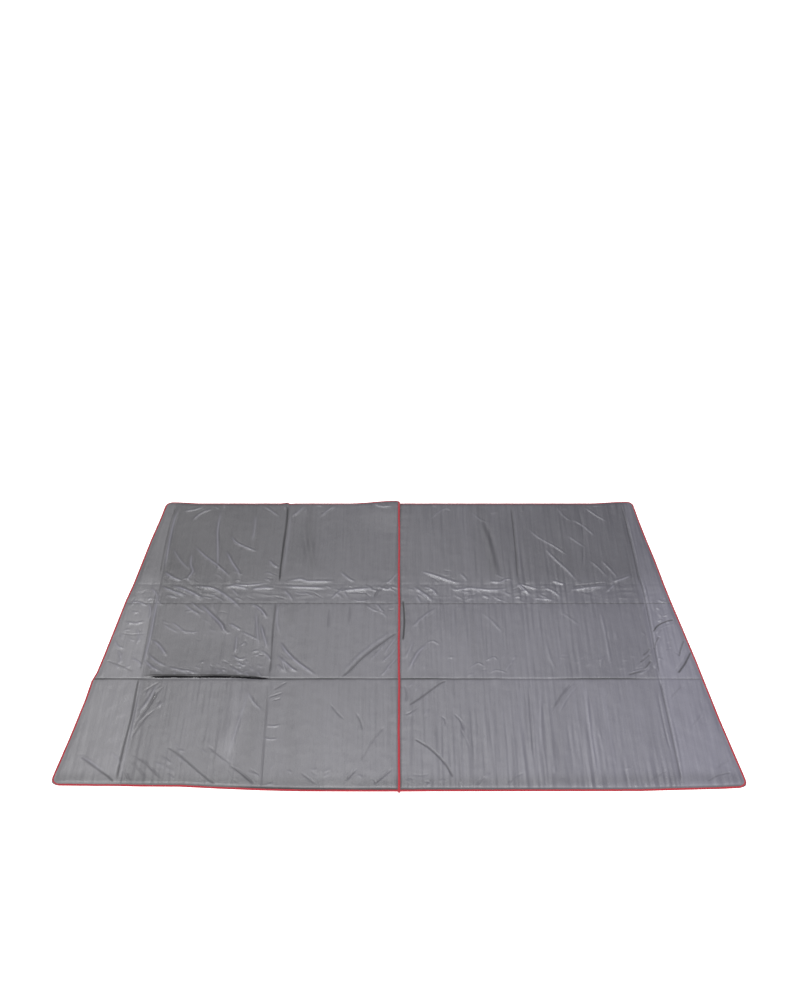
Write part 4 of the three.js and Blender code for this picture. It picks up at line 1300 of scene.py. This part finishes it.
for name, obj in pieces.items():
    if name.startswith(("panel_", "bend_")):
        obj.data.materials.append(COVER)
        obj.data.materials.append(UNDER)
        normals = np.empty(len(obj.data.polygons) * 3)
        obj.data.polygons.foreach_get("normal", normals)
        index = (normals.reshape(-1, 3)[:, 2] < -0.7).astype(np.int32)
        # faces in the lip's shadow get the near-black painted-shadow material
        if name in ("panel_middle_left_outer", "panel_near_left_outer", "bend_near_third_left_outer"):
            obj.data.materials.append(LIP_SHADOW)
            mid = np.empty(len(index) * 3)
            obj.data.polygons.foreach_get("center", mid)
            mid = mid.reshape(-1, 3)
            index[(index == 0) & (sample(lip_shadow_mask, mid[:, 0], mid[:, 1]) > 0.55)] = 2
        obj.data.polygons.foreach_set("material_index", index)
    elif name.startswith("foam_"):
        obj.data.materials.append(FOAM)
    else:
        obj.data.materials.append(TAPE_MAT)

# ------------------------------------------------------------------ floor, world and lights
floor_mesh = bpy.data.meshes.new("floor")
S = 40.0
floor_mesh.from_pydata([(-S, -S, -0.0002), (S, -S, -0.0002), (S, S, -0.0002), (-S, S, -0.0002)], [], [(0, 1, 2, 3)])
floor = bpy.data.objects.new("floor", floor_mesh)
bpy.context.scene.collection.objects.link(floor)
fm, fnt, fb = material("floor_paper")
fb.inputs["Base Color"].default_value = (0.93, 0.93, 0.93, 1)
fb.inputs["Roughness"].default_value = 0.9
fb.inputs["Specular IOR Level"].default_value = 0.1
fb.inputs["Emission Color"].default_value = (1, 1, 1, 1)
fb.inputs["Emission Strength"].default_value = 0.72
floor_mesh.materials.append(fm)

world = bpy.data.worlds.new("world")
bpy.context.scene.world = world
world.use_nodes = True
world.node_tree.nodes["Background"].inputs["Color"].default_value = (1, 1, 1, 1)
world.node_tree.nodes["Background"].inputs["Strength"].default_value = 0.22


def area(name, at, to, size, power, colour=(1, 1, 1), spread=180):
    d = bpy.data.lights.new(name, "AREA")
    d.shape = "RECTANGLE"
    d.size, d.size_y = size
    d.energy = power
    d.color = colour
    d.spread = math.radians(spread)
    o = bpy.data.objects.new(name, d)
    o.location = at
    o.rotation_euler = (Vector(to) - Vector(at)).to_track_quat("-Z", "Y").to_euler()
    bpy.context.scene.collection.objects.link(o)
    return o


def distant(name, azimuth, elevation, strength, angle):
    """A far softbox; azimuth 0 is behind the blanket, and 90 is on its left."""
    d = bpy.data.lights.new(name, "SUN")
    d.energy = strength
    d.angle = math.radians(angle)
    o = bpy.data.objects.new(name, d)
    a, e = math.radians(azimuth), math.radians(elevation)
    at = Vector((-math.sin(a) * math.cos(e), math.cos(a) * math.cos(e), math.sin(e)))
    o.rotation_euler = at.to_track_quat("Z", "Y").to_euler()
    o.location = at * 6
    bpy.context.scene.collection.objects.link(o)
    return o


distant("top_softbox", 12, 74, 1.30, 20)
distant("back_softbox", 6, 58, 0.62, 16)
distant("left_softbox", 118, 26, 1.55, 10)
distant("right_softbox", -60, 30, 0.35, 16)
area("front_softbox", (0.4, -2.1, 2.4), (0.2, -1.0, 0), (3.4, 0.6), 46)

bpy.context.scene.view_settings.view_transform = "Standard"
bpy.context.scene.view_settings.look = "None"
